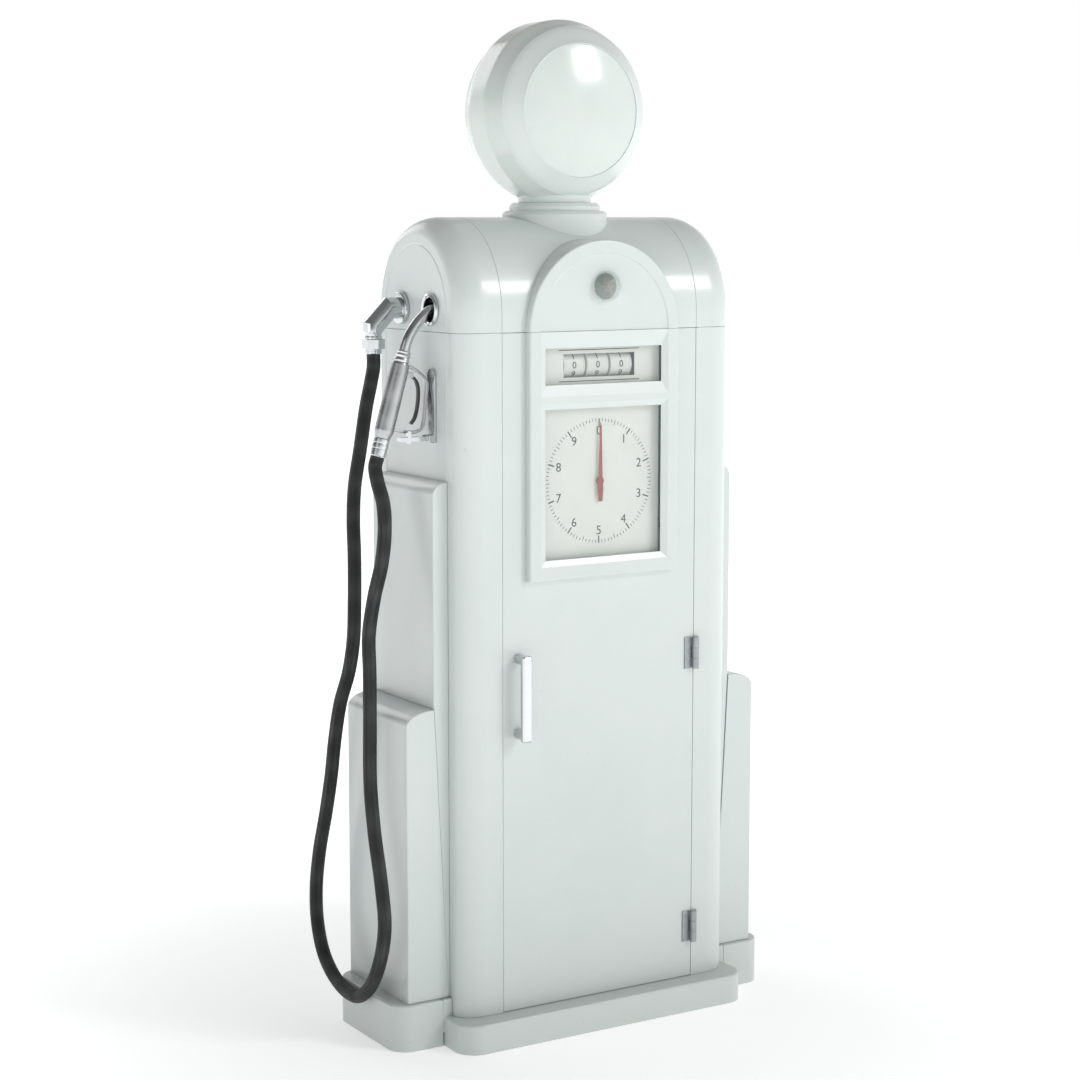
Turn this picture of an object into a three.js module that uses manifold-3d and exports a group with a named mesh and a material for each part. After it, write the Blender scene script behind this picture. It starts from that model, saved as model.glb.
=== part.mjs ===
// Double-faced gas pump with a lit globe, rebuilt as separate pieces.
// Millimetres, +Z up, origin on the ground under the middle of the cabinet, front facing -Y.
import * as THREE from 'three';
import { mergeVertices } from 'three/addons/utils/BufferGeometryUtils.js';
import Module from 'manifold-3d';

const wasm = await Module();
wasm.setup();

// ---- driving dimensions -------------------------------------------------------------
const GAP = 0.3;                       // working gap between neighbouring pieces
const SHEET = 3;                       // pressed steel sheet
const HALF_WIDTH = 361;                // cabinet, without its side wings
const HALF_DEPTH = 197.5;
const CORNER_X = 63;                   // rounded ends of the cabinet: along X and along Y
const CORNER_Y = 40;
const DOOR_HALF = 256;
const PLINTH = { halfX: 382, halfY: 249.5, top: 67, radius: 50, wall: 9 };
const PAD_TOP = 106;                   // raised ends of the base and the shoes beside them
const SEAM = 1588;                     // joint between the doors and the hood
const SPRING = 1625;                   // where the hood starts to curve over
const RIDGE = 1836;
const DIAL_HALF = 196;                 // outside of the dial frame
const DIAL_PROUD = 18;
const ARCH_WALL = 4;
const DIAL_BOTTOM = 1040;
const ARCH_CENTRE = 1591;
const WINDOW_HALF = 153;
const UPPER_WINDOW = [1470.7, 1551.5];
const LOWER_WINDOW = [1084, 1417.5];
const SIGHT = { z: 1685, radius: 34, hole: 29, depth: 31 };
const GLOBE = { z: 2069, wall: 6, neck: 82.5, lens: 145.5, sides: 32 };
const COLLAR = { skirt: 119, step: 103, top: 1868 };
const UPPER_WING = { x: 398, half: 140, top: 1265, shoulder: 1236, foot: 364 };
const LOWER_WING = { x: 467.4, half: 141, top: 764, shoulder: 733 };
const SHOE = { inner: 385.3, outer: 501, half: 151.6, radius: 47, wall: 8 };
const OUTLET = { y: 61, z: 1636, drop: -434 };
const PORT = { y: -72, z: 1636, radius: 36, bore: 26 };
const HOSE_RADIUS = 15.5;
const HINGE = { x: 256, y: -206, radius: 8, pin: 2.9, heights: [189, 840], length: 74 };

const enamel = { color: 0xdae0df, roughness: 0.35, metalness: 0 };
const trim = { color: 0xc9cdcb, roughness: 0.22, metalness: 0.9 };
const castIron = { color: 0x54585a, roughness: 0.6, metalness: 0.5 };
const steel = { color: 0x9a9da0, roughness: 0.4, metalness: 0.8 };
const rubber = { color: 0x1d1e20, roughness: 0.7, metalness: 0 };
const glass = { color: 0xdfe9ea, roughness: 0.05, metalness: 0 };
const opal = { color: 0xf2f1ea, roughness: 0.2, metalness: 0 };
const dialWhite = { color: 0xefeee6, roughness: 0.5, metalness: 0 };
const dialRed = { color: 0xa5231c, roughness: 0.4, metalness: 0 };

const pump = new THREE.Group();
function piece(name, geometry, finish) {
  const mesh = new THREE.Mesh(geometry, new THREE.MeshStandardMaterial(finish));
  mesh.name = name;
  pump.add(mesh);
  return mesh;
}

// ---- joining and cutting ------------------------------------------------------------
function toSolid(geometry) {
  const bare = geometry.clone();
  for (const extra of Object.keys(bare.attributes)) {
    if (extra !== 'position') bare.deleteAttribute(extra);
  }
  const merged = mergeVertices(bare, 1e-4);
  const vertProperties = new Float32Array(merged.attributes.position.array);
  return new wasm.Manifold(new wasm.Mesh({
    numProp: 3, vertProperties, triVerts: new Uint32Array(merged.index.array),
  }));
}

function toGeometry(solid) {
  const mesh = solid.getMesh();
  const geometry = new THREE.BufferGeometry();
  geometry.setAttribute('position', new THREE.BufferAttribute(mesh.vertProperties, 3));
  geometry.setIndex(new THREE.BufferAttribute(mesh.triVerts, 1));
  return geometry;
}

const join = (first, ...others) => toGeometry(
  others.reduce((whole, other) => whole.add(toSolid(other)), toSolid(first)));
const cut = (first, ...tools) => toGeometry(
  tools.reduce((whole, tool) => whole.subtract(toSolid(tool)), toSolid(first)));

// ---- plain shapes -------------------------------------------------------------------
function block(x0, x1, y0, y1, z0, z1) {
  const box = new THREE.BoxGeometry(x1 - x0, y1 - y0, z1 - z0);
  return box.translate((x0 + x1) / 2, (y0 + y1) / 2, (z0 + z1) / 2);
}

// A shape drawn in X and Y, raised along Z from z0 to z1.
function upright(shape, z0, z1, curveSegments = 5) {
  const solid = new THREE.ExtrudeGeometry(shape, { depth: z1 - z0, bevelEnabled: false, curveSegments });
  return solid.translate(0, 0, z0);
}

// A shape drawn in X and Z, carried along Y from y0 to y1.
function acrossY(shape, y0, y1, curveSegments = 6) {
  const solid = new THREE.ExtrudeGeometry(shape, { depth: y1 - y0, bevelEnabled: false, curveSegments });
  return solid.rotateX(Math.PI / 2).translate(0, y1, 0);
}

// A cylinder along 'x', 'y' or 'z' between two stations.
function rod(axis, radius, from, to, a, b, sides = 16) {
  const solid = new THREE.CylinderGeometry(radius, radius, to - from, sides);
  const middle = (from + to) / 2;
  if (axis === 'x') return solid.rotateZ(Math.PI / 2).translate(middle, a, b);
  if (axis === 'y') return solid.translate(a, middle, b);
  return solid.rotateX(Math.PI / 2).translate(a, b, middle);
}

// A profile of [radius, height] points turned about Z, or about Y when along is 'y'.
function turned(profile, sides = 20, along = 'z') {
  const lathe = new THREE.LatheGeometry(profile.map(([r, h]) => new THREE.Vector2(r, h)), sides);
  return along === 'y' ? lathe : lathe.rotateX(Math.PI / 2);
}

function tube(points, radius, steps, sides) {
  const route = new THREE.CatmullRomCurve3(points.map((p) => new THREE.Vector3(...p)), false, 'centripetal');
  const section = new THREE.Shape();
  section.absarc(0, 0, radius, 0, Math.PI * 2);
  return new THREE.ExtrudeGeometry(section, {
    steps, extrudePath: route, bevelEnabled: false, curveSegments: sides / 2,
  });
}

function polygon(points) {
  const shape = new THREE.Shape();
  points.forEach(([a, b], i) => (i ? shape.lineTo(a, b) : shape.moveTo(a, b)));
  shape.closePath();
  return shape;
}

function roundedRectangle(halfX, halfY, radius) {
  const shape = new THREE.Shape();
  shape.moveTo(halfX, halfY - radius);
  shape.absarc(halfX - radius, halfY - radius, radius, 0, Math.PI / 2);
  shape.absarc(radius - halfX, halfY - radius, radius, Math.PI / 2, Math.PI);
  shape.absarc(radius - halfX, radius - halfY, radius, Math.PI, Math.PI * 1.5);
  shape.absarc(halfX - radius, radius - halfY, radius, Math.PI * 1.5, Math.PI * 2);
  shape.closePath();
  return shape;
}

// A door-topped outline: straight sides up to springZ, then half an ellipse.
function archOutline(half, bottom, springZ, rise, segments = 16) {
  const points = [[-half, bottom], [half, bottom]];
  for (let i = 0; i <= segments; i += 1) {
    const angle = (Math.PI * i) / segments;
    points.push([half * Math.cos(angle), springZ + rise * Math.sin(angle)]);
  }
  return points;
}

// Skin through outlines of equal count, each {x, points: [[y, z], ...]}, capped at both ends.
function loft(stations) {
  const count = stations[0].points.length;
  const positions = [];
  const index = [];
  stations.forEach(({ x, points }) => points.forEach(([y, z]) => positions.push(x, y, z)));
  for (let s = 0; s + 1 < stations.length; s += 1) {
    for (let i = 0; i < count; i += 1) {
      const a = s * count + i;
      const b = s * count + ((i + 1) % count);
      index.push(a, b, b + count, a, b + count, a + count);
    }
  }
  const last = (stations.length - 1) * count;
  for (let i = 1; i + 1 < count; i += 1) {
    index.push(0, i + 1, i, last, last + i, last + i + 1);
  }
  if (stations[1].x < stations[0].x) index.reverse();
  const geometry = new THREE.BufferGeometry();
  geometry.setAttribute('position', new THREE.Float32BufferAttribute(positions, 3));
  geometry.setIndex(index);
  return geometry;
}

// ---- base ---------------------------------------------------------------------------
// Cast base: a low rounded pan, open below, with a raised pad at each end beside the cabinet.
function baseCasting() {
  const { halfX, halfY, top, radius, wall } = PLINTH;
  const outer = upright(roundedRectangle(halfX, halfY, radius), 0, top);
  const hollow = upright(roundedRectangle(halfX - wall, halfY - wall, radius - wall), -5, top - wall);
  const pads = [-1, 1].map((side) => {
    const inner = side * (HALF_WIDTH + GAP);
    const outerX = side * (SHOE.inner - GAP);
    return block(Math.min(inner, outerX), Math.max(inner, outerX), -SHOE.half, SHOE.half, 0, PAD_TOP);
  });
  const pipeHole = rod('z', 45, top - 2 * wall, top + 5, -120, 60, 20);
  const conduitHole = rod('z', 25, top - 2 * wall, top + 5, 180, 60, 16);
  return cut(join(cut(outer, hollow), ...pads), pipeHole, conduitHole);
}
piece('base_casting', baseCasting(), enamel);

// Cast shoe that finishes the base under each wing: square inside, rounded outside, open below.
function shoe(side) {
  const outline = (inner, outer, half, radius) => {
    const shape = new THREE.Shape();
    shape.moveTo(inner, -half);
    shape.lineTo(outer - radius, -half);
    shape.absarc(outer - radius, radius - half, radius, -Math.PI / 2, 0);
    shape.absarc(outer - radius, half - radius, radius, 0, Math.PI / 2);
    shape.lineTo(inner, half);
    shape.closePath();
    return shape;
  };
  const { inner, outer, half, radius, wall } = SHOE;
  const body = upright(outline(inner, outer, half, radius), 0, PAD_TOP);
  const hollow = upright(outline(inner + wall, outer - wall, half - wall, radius - wall), -5, PAD_TOP - wall);
  const solid = cut(body, hollow);
  return side > 0 ? solid : solid.rotateZ(Math.PI);
}
piece('shoe_left', shoe(-1), enamel);
piece('shoe_right', shoe(1), enamel);

// ---- cabinet shells -----------------------------------------------------------------
// Each side shell wraps from the front door edge round the end to the rear door edge.
function sideShell(side) {
  const edge = DOOR_HALF + GAP;
  const lip = 16;
  const outline = new THREE.Shape();
  outline.moveTo(edge, -HALF_DEPTH);
  outline.lineTo(HALF_WIDTH - CORNER_X, -HALF_DEPTH);
  const cornerX = HALF_WIDTH - CORNER_X;
  const cornerY = HALF_DEPTH - CORNER_Y;
  outline.absellipse(cornerX, -cornerY, CORNER_X, CORNER_Y, -Math.PI / 2, 0, false, 0);
  outline.absellipse(cornerX, cornerY, CORNER_X, CORNER_Y, 0, Math.PI / 2, false, 0);
  outline.lineTo(edge, HALF_DEPTH);
  outline.lineTo(edge, HALF_DEPTH - lip);
  outline.lineTo(edge + SHEET, HALF_DEPTH - lip);
  outline.lineTo(edge + SHEET, HALF_DEPTH - SHEET);
  outline.absellipse(cornerX, cornerY, CORNER_X - SHEET, CORNER_Y - SHEET, Math.PI / 2, 0, true, 0);
  outline.absellipse(cornerX, -cornerY, CORNER_X - SHEET, CORNER_Y - SHEET, 0, -Math.PI / 2, true, 0);
  outline.lineTo(edge + SHEET, SHEET - HALF_DEPTH);
  outline.lineTo(edge + SHEET, lip - HALF_DEPTH);
  outline.lineTo(edge, lip - HALF_DEPTH);
  outline.closePath();
  const shell = upright(outline, PLINTH.top + GAP, SEAM - GAP);
  return side > 0 ? shell : shell.rotateZ(Math.PI);
}
piece('side_shell_left', sideShell(-1), enamel);
piece('side_shell_right', sideShell(1), enamel);

const hoodOutline = (inset, bottom) => archOutline(
  HALF_DEPTH - inset, bottom, SPRING, RIDGE - SPRING - inset);

// Each hood end is a deep pressing: the vault rolls in to a flat arched end.
function hoodEnd(side) {
  const stations = (skin, start) => {
    const list = [start, HALF_WIDTH - CORNER_X].map((x) => ({
      x: side * x, points: hoodOutline(skin, skin ? SEAM - 40 : SEAM + GAP),
    }));
    for (let i = 1; i <= 6; i += 1) {
      const angle = (Math.PI / 2) * (i / 6);
      list.push({
        x: side * (HALF_WIDTH - CORNER_X + (CORNER_X - skin) * Math.sin(angle)),
        points: hoodOutline(skin + (CORNER_Y - skin) * (1 - Math.cos(angle)), skin ? SEAM - 40 : SEAM + GAP),
      });
    }
    return list;
  };
  const outside = loft(stations(0, DOOR_HALF + GAP));
  const inside = loft(stations(SHEET, DOOR_HALF - 5));
  const holes = side < 0 ? [
    rod('x', 18, -HALF_WIDTH - 5, -HALF_WIDTH + 20, OUTLET.y, OUTLET.z),
    rod('x', PORT.bore + 2.5, -HALF_WIDTH - 5, -HALF_WIDTH + 20, PORT.y, PORT.z, 20),
  ] : [];
  return cut(outside, inside, ...holes);
}
piece('hood_end_left', hoodEnd(-1), enamel);
piece('hood_end_right', hoodEnd(1), enamel);

const vaultSolid = (inset, halfX, bottom) => loft([
  { x: -halfX, points: hoodOutline(inset, bottom) },
  { x: halfX, points: hoodOutline(inset, bottom) },
]);
const dialArch = (margin, bottom) => polygon(archOutline(
  DIAL_HALF + margin, bottom, ARCH_CENTRE, DIAL_HALF + margin, 20));

// Middle of the hood, open for the two dial arches and for the globe's wiring.
function hoodMiddle() {
  const halfX = DOOR_HALF - GAP;
  return cut(
    vaultSolid(0, halfX, SEAM + GAP),
    vaultSolid(SHEET, halfX + 5, SEAM - 40),
    acrossY(dialArch(GAP, SEAM - 10), -HALF_DEPTH - 10, -60),
    acrossY(dialArch(GAP, SEAM - 10), 60, HALF_DEPTH + 10),
    rod('z', 40, RIDGE - 60, RIDGE + 20, 0, 0),
  );
}
piece('hood_middle', hoodMiddle(), enamel);

// Dial arch: the proud round-topped housing above each door, with a hole for the sight glass.
function dialArchHousing(face) {
  const front = -HALF_DEPTH - DIAL_PROUD;
  const shell = cut(
    acrossY(dialArch(0, SEAM + GAP), front, -100),
    acrossY(dialArch(-ARCH_WALL, SEAM - 60), front + ARCH_WALL, -90),
    vaultSolid(SHEET + GAP, DOOR_HALF, SEAM - 60),
    rod('y', SIGHT.hole, front - 5, front + 10, 0, SIGHT.z),
  );
  return face < 0 ? shell : shell.rotateZ(Math.PI);
}
piece('dial_arch_front', dialArchHousing(-1), enamel);
piece('dial_arch_rear', dialArchHousing(1), enamel);

// ---- doors, dial frames and windows ---------------------------------------------------
// A door is a pan pressing with a returned edge and one tall opening behind the dial frame.
function doorPan() {
  const halfX = DOOR_HALF - GAP;
  const bottom = PLINTH.top + 1;
  const top = SEAM - GAP;
  const face = -HALF_DEPTH;
  return cut(
    block(-halfX, halfX, face, face + 15, bottom, top),
    block(SHEET - halfX, halfX - SHEET, face + SHEET, face + 20, bottom + SHEET, top - SHEET),
    block(-170, 170, face - 5, face + 10, DIAL_BOTTOM + 20, top - 18),
  );
}
piece('front_door', doorPan(), enamel);
piece('rear_panel', doorPan().rotateZ(Math.PI), enamel);

// The dial frame stands proud of the door, holds the glass in a rebate and carries two windows.
function dialFrame() {
  const front = -HALF_DEPTH - DIAL_PROUD;
  const back = -HALF_DEPTH - GAP;
  const top = SEAM - GAP;
  return cut(
    block(-DIAL_HALF, DIAL_HALF, front, back, DIAL_BOTTOM, top),
    block(-167, 167, front + 7.8, back + 5, 1070, 1566),
    block(-WINDOW_HALF, WINDOW_HALF, front - 5, back + 5, ...UPPER_WINDOW),
    block(-WINDOW_HALF, WINDOW_HALF, front - 5, back + 5, ...LOWER_WINDOW),
  );
}
piece('dial_frame_front', dialFrame(), enamel);
piece('dial_frame_rear', dialFrame().rotateZ(Math.PI), enamel);

const pane = () => block(-166.5, 166.5, -207.3, -203.3, 1070.5, 1565.5);
piece('window_glass_front', pane(), glass);
piece('window_glass_rear', pane().rotateZ(Math.PI), glass);

// ---- dials --------------------------------------------------------------------------
const DIAL_CENTRE = 1252;
const WHEEL = { y: -150, z: 1511, radius: 34, bore: 4.4, pitch: 62, width: 56 };

// Dial plate behind each glass, with a slot for the number wheels and a hole for the hand.
function dialPlate(withWheels) {
  const plate = block(-160, 160, -188.5, -186.5, 1078, 1560);
  const handHole = rod('y', 5, -195, -180, 0, DIAL_CENTRE, 16);
  if (!withWheels) return cut(plate, handHole);
  return cut(plate, handHole, block(-94, 94, -195, -180, 1485, 1537));
}
piece('dial_plate_front', dialPlate(true), dialWhite);
piece('dial_plate_rear', dialPlate(false).rotateZ(Math.PI), dialWhite);

// The hand is a flat pointer with a counterweight, on a hub and a short spindle.
function dialHand() {
  const blade = acrossY(polygon([
    [-5, -46], [5, -46], [7, -18], [5, 4], [2.2, 124], [0, 132], [-2.2, 124], [-5, 4], [-7, -18],
  ]), -196.5, -194.9);
  const hub = rod('y', 9, -198, -191, 0, 0, 18);
  const spindle = rod('y', 3.5, -192, -80, 0, 0, 12);
  return join(blade, hub, spindle).translate(0, 0, DIAL_CENTRE);
}
piece('gallon_hand_front', dialHand(), dialRed);
piece('gallon_hand_rear', dialHand().rotateZ(Math.PI), dialRed);

for (let i = 0; i < 3; i += 1) {
  const centre = (1 - i) * WHEEL.pitch;
  const drum = turned([
    [WHEEL.bore, -WHEEL.width / 2], [WHEEL.radius, -WHEEL.width / 2],
    [WHEEL.radius, WHEEL.width / 2], [WHEEL.bore, WHEEL.width / 2], [WHEEL.bore, -WHEEL.width / 2],
  ], 20);
  piece(`number_wheel_${i + 1}`, drum.rotateY(Math.PI / 2).translate(centre, WHEEL.y, WHEEL.z), dialWhite);
}

// Register: the counter box between the dials, with the wheel shaft on two arms.
function register() {
  const arms = [-1, 1].map((side) => block(side > 0 ? 97 : -103, side > 0 ? 103 : -97,
    WHEEL.y - 8, -90, WHEEL.z - 12, WHEEL.z + 12));
  const box = block(-110, 110, -95, 95, 1160, 1540);
  const shaft = rod('x', 4, -98, 98, WHEEL.y, WHEEL.z, 8);
  const standoffs = [-1, 1].flatMap((face) => [-1, 1].flatMap((side) => [1185, 1450].map(
    (z) => rod('y', 5, face > 0 ? 90 : -186.2, face > 0 ? 186.2 : -90, side * 98, z, 6))));
  const handBores = [-1, 1].map((side) => rod('y', 6, side * 108 - 40, side * 108 + 40, 0, DIAL_CENTRE, 10));
  const hollow = block(-106, 106, -91, 91, 1150, 1536);
  return cut(join(cut(box, hollow), ...arms, shaft, ...standoffs), ...handBores);
}
piece('register', register(), castIron);

// ---- door furniture -------------------------------------------------------------------
function doorHandle() {
  const face = -HALF_DEPTH - GAP;
  const bar = upright(roundedRectangle(12, 7.5, 6), 688, 882, 4).translate(-217.5, face - 36, 0);
  const posts = [[693, 713], [861, 880]].map(([low, high]) => block(-227, -208, face - 32, face, low, high));
  return join(bar, ...posts);
}
piece('door_handle', doorHandle(), trim);

// Butt hinge: the door leaf has the middle knuckle, the cabinet leaf the outer two and the pin.
function hingeParts(middle) {
  const { x, y, radius, pin, length } = HINGE;
  const third = length / 3;
  const low = middle - length / 2;
  const leafBack = -HALF_DEPTH - GAP;
  const knuckle = (z0, z1) => rod('z', radius, z0, z1, x, y, 18);
  const doorLeaf = cut(
    join(block(x - 26, x, leafBack - 2.5, leafBack, low, low + length), knuckle(low, low + length)),
    block(x + 0.2, x + 12, y - 12, leafBack + 3, low - 1, low + third + GAP),
    block(x - 12, x + 12, y - 12, leafBack + 3, low - 1, low + third + GAP),
    block(x - 12, x + 12, y - 12, leafBack + 3, low + 2 * third - GAP, low + length + 1),
    rod('z', pin + GAP, low - 1, low + length + 1, x, y, 18),
  );
  const bodyLeaf = cut(
    join(block(x, x + 12, leafBack - 2.5, leafBack, low, low + length), knuckle(low, low + length)),
    block(x - 12, x + 13, y - 12, leafBack + 3, low + third, low + 2 * third),
  );
  return { doorLeaf, bodyLeaf: join(bodyLeaf, rod('z', pin, low + 1, low + length - 1, x, y, 18)) };
}
['lower', 'upper'].forEach((place, i) => {
  const { doorLeaf, bodyLeaf } = hingeParts(HINGE.heights[i]);
  piece(`hinge_leaf_${place}`, doorLeaf, steel);
  piece(`hinge_post_${place}`, bodyLeaf, steel);
});

// ---- sight glasses and flow spinner -----------------------------------------------------
function sightDome(face) {
  const base = -HALF_DEPTH - DIAL_PROUD - GAP;
  const flatAngle = Math.asin(SIGHT.depth / SIGHT.radius);
  const outer = [];
  const inner = [];
  const wall = 3;
  const steps = 4;
  for (let i = 0; i <= steps; i += 1) {
    const angle = (flatAngle * i) / steps;
    outer.push([SIGHT.radius * Math.cos(angle), SIGHT.radius * Math.sin(angle)]);
    inner.unshift([(SIGHT.radius - wall) * Math.cos(angle), (SIGHT.radius - wall) * Math.sin(angle)]);
  }
  const dome = turned([...outer, [0, SIGHT.depth], [0, inner[0][1]], ...inner, outer[0]], 20, 'y');
  dome.rotateX(Math.PI).translate(0, base, SIGHT.z);
  return face < 0 ? dome : dome.rotateZ(Math.PI);
}
piece('sight_dome_front', sightDome(-1), glass);
piece('sight_dome_rear', sightDome(1), glass);

// One shaft carries a small paddle wheel behind each sight glass.
function flowSpinner() {
  const reach = HALF_DEPTH + DIAL_PROUD + 20;
  const paddles = [-1, 1].flatMap((face) => [0, 1, 2].map((i) => {
    const blade = new THREE.BoxGeometry(36, 12, 2.4);
    return blade.rotateY((Math.PI * i) / 3).translate(0, face * (reach - 12), SIGHT.z);
  }));
  return join(rod('y', 3, -reach, reach, 0, SIGHT.z, 12), ...paddles);
}
piece('flow_spinner', flowSpinner(), dialRed);

// ---- globe --------------------------------------------------------------------------
// Turned collar: a stepped ring whose skirt is fitted to the curve of the hood.
function globeCollar() {
  const { skirt, step, top } = COLLAR;
  const ring = turned([
    [76, 1740], [skirt, 1740], [skirt, 1843], [skirt - 8, 1850], [step, 1850], [step, 1860],
    [step - 8, top], [76, top], [76, 1740],
  ], 28);
  return cut(ring, vaultSolid(-GAP, DOOR_HALF, SEAM));
}
piece('globe_collar', globeCollar(), enamel);

const GLOBE_HALF_PROFILE = [[204, 33], [200, 44], [192, 62], [186, 80]];

// Glass band of the globe with the neck that stands in the collar.
function globeBody() {
  const mirrored = GLOBE_HALF_PROFILE.slice().reverse().map(([r, h]) => [r, -h]);
  const outer = [...mirrored, ...GLOBE_HALF_PROFILE];
  const inner = outer.map(([r, h]) => [r - GLOBE.wall, h]).reverse();
  const band = turned([...outer, ...inner, outer[0]], GLOBE.sides, 'y').translate(0, 0, GLOBE.z);
  const neckTop = GLOBE.z - 176;
  const core = turned([[0, -84], [192, -84], [192, 84], [0, 84]], GLOBE.sides, 'y').translate(0, 0, GLOBE.z);
  const neck = cut(rod('z', GLOBE.neck, COLLAR.top + GAP, neckTop, 0, 0, 24), core);
  const bore = rod('z', GLOBE.neck - GLOBE.wall, COLLAR.top - 5, neckTop + 20, 0, 0, 24);
  return cut(join(band, neck), bore);
}
piece('globe_body', globeBody(), opal);

// Metal ring that clamps each lens, and the bowed lens itself.
function globeRing(face) {
  const ring = turned([
    [186, 80.3], [178, 88], [155, 107], [148, 113], [146, 113], [146, 104], [176, 80.3], [186, 80.3],
  ], GLOBE.sides, 'y');
  if (face < 0) ring.rotateX(Math.PI);
  return ring.translate(0, 0, GLOBE.z);
}
piece('globe_ring_front', globeRing(-1), enamel);
piece('globe_ring_rear', globeRing(1), enamel);

function globeLens(face) {
  const rim = 112;
  const sag = 19;
  const steps = 3;
  const front = [];
  for (let i = 0; i <= steps; i += 1) {
    const t = 1 - i / steps;
    front.push([GLOBE.lens * t, rim + sag * (1 - t * t)]);
  }
  const back = front.map(([r, h]) => [r, h - 6]).reverse();
  const lens = turned([...front, ...back, front[0]], GLOBE.sides, 'y');
  if (face < 0) lens.rotateX(Math.PI);
  return lens.translate(0, 0, GLOBE.z);
}
piece('globe_lens_front', globeLens(-1), opal);
piece('globe_lens_rear', globeLens(1), opal);

// ---- wings --------------------------------------------------------------------------
// Section of a wing's rounded top, from its flat top corner round to its outer face.
function shoulder(innerX, outerX, top, shoulderZ, steps = 5) {
  const points = [];
  for (let i = 0; i <= steps; i += 1) {
    const angle = (Math.PI / 2) * (i / steps);
    points.push([
      innerX + (outerX - innerX) * Math.sin(angle),
      shoulderZ + (top - shoulderZ) * Math.cos(angle),
    ]);
  }
  return points;
}

// Upper wing: a sheet fairing with a rounded top that runs down to the base and narrows there.
function upperWing(side) {
  const { x, half, top, shoulder: shoulderZ, foot } = UPPER_WING;
  const inner = HALF_WIDTH + GAP;
  const foldZ = LOWER_WING.top + 20;
  const bottom = PAD_TOP + GAP;
  const outline = (skin) => polygon([
    [skin ? inner - 5 : inner, bottom + skin],
    [skin ? inner - 5 : inner, top - skin],
    ...shoulder(skin ? inner : inner + 4, x - skin, top - skin, shoulderZ),
    [x - skin, foldZ],
    [foot - skin + 1, bottom + skin],
  ]);
  const shell = cut(acrossY(outline(0), -half, half), acrossY(outline(2.2), 3 - half, half - 3));
  return side > 0 ? shell : shell.rotateZ(Math.PI);
}
piece('upper_wing_left', upperWing(-1), enamel);
piece('upper_wing_right', upperWing(1), enamel);

// Lower wing: a deeper fairing against the upper one, standing on the shoe.
function lowerWing(side) {
  const { x, half, top, shoulder: shoulderZ } = LOWER_WING;
  const bottom = PAD_TOP + GAP;
  const inner = UPPER_WING.x + GAP;
  const foot = UPPER_WING.foot + 1 + 2 * GAP;
  const outer = polygon([
    [foot, bottom], [inner, top - 0.1], ...shoulder(inner + 8, x, top, shoulderZ), [x, bottom],
  ]);
  const hollow = polygon([
    [foot - 10, bottom + SHEET], [inner - 10, top - SHEET],
    ...shoulder(inner, x - SHEET, top - SHEET, shoulderZ), [x - SHEET, bottom + SHEET],
  ]);
  const shell = cut(acrossY(outer, -half, half), acrossY(hollow, SHEET - half, half - SHEET));
  return side > 0 ? shell : shell.rotateZ(Math.PI);
}
piece('lower_wing_left', lowerWing(-1), enamel);
piece('lower_wing_right', lowerWing(1), enamel);

// ---- hose outlet, hose and nozzle -------------------------------------------------------
const sideFace = -HALF_WIDTH - GAP;

function outletElbow() {
  const { y, z, drop } = OUTLET;
  const flange = rod('x', 36, sideFace - 11, sideFace, y, z, 20);
  const bend = tube([
    [sideFace - 4, y, z], [sideFace - 24, y, z], [-408, y, z - 9], [-429, y, z - 29],
    [drop, y, z - 46], [drop, y, z - 54],
  ], 23, 8, 12);
  const neck = rod('z', 19.5, 1569.3, 1590, drop, y, 24);
  return join(flange, bend, neck);
}
piece('outlet_elbow', outletElbow(), trim);

// Coupling: a hexagon nut over a plain ferrule that grips the hose.
function hoseCoupling() {
  const nut = rod('z', 26, 1547, 1569, OUTLET.drop, OUTLET.y, 6);
  const ferrule = rod('z', 18.8, 1536, 1550, OUTLET.drop, OUTLET.y, 24);
  return join(nut, ferrule);
}
piece('hose_coupling', hoseCoupling(), trim);

// Route of the hose from the coupling down, round under itself, and up to the nozzle.
const HOSE_ROUTE = [
  [-434, 61, 1535.7], [-434, 61, 1508], [-440, 65, 1468], [-449, 69, 1420], [-464, 72, 1323],
  [-475, 79, 1240], [-483, 71, 1165], [-490, 54, 1092], [-500, 36, 993], [-508, 28, 905],
  [-513, 42, 832], [-517, 78, 755], [-518, 106, 665], [-519, 124, 580], [-519, 154, 485],
  [-520, 187, 390], [-520, 207, 295], [-520, 202, 215], [-520, 172, 150], [-520, 122, 111],
  [-520, 62, 92], [-520, 0, 95], [-520, -60, 134], [-520, -108, 205], [-520, -132, 290],
  [-520, -118, 382], [-520, -88, 490], [-520, -70, 600], [-520, -71, 733], [-519, -70, 850],
  [-519, -68, 930], [-517, -92, 1020], [-515, -123, 1095], [-512, -133, 1165], [-509, -122, 1225],
  [-507, -93, 1268], [-502, -72.5, 1300.5], [-495.6, -72, 1322],
];
piece('hose', tube(HOSE_ROUTE, HOSE_RADIUS, 54, 8), rubber);

// The nozzle lies in one upright plane: a lean of its body outwards and down from the port.
const NOZZLE_TOP = new THREE.Vector3(-436, PORT.y, 1524);
const NOZZLE_LEAN = new THREE.Vector3(-41, 0, -139).normalize();
const LEAN_ANGLE = Math.atan2(-NOZZLE_LEAN.x, -NOZZLE_LEAN.z);

// A turned profile of [radius, distance down the nozzle's axis].
function alongNozzle(profile, sides = 16) {
  const solid = turned(profile.map(([r, d]) => [r, -d]).reverse(), sides);
  return solid.rotateY(LEAN_ANGLE).translate(NOZZLE_TOP.x, NOZZLE_TOP.y, NOZZLE_TOP.z);
}

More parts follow.
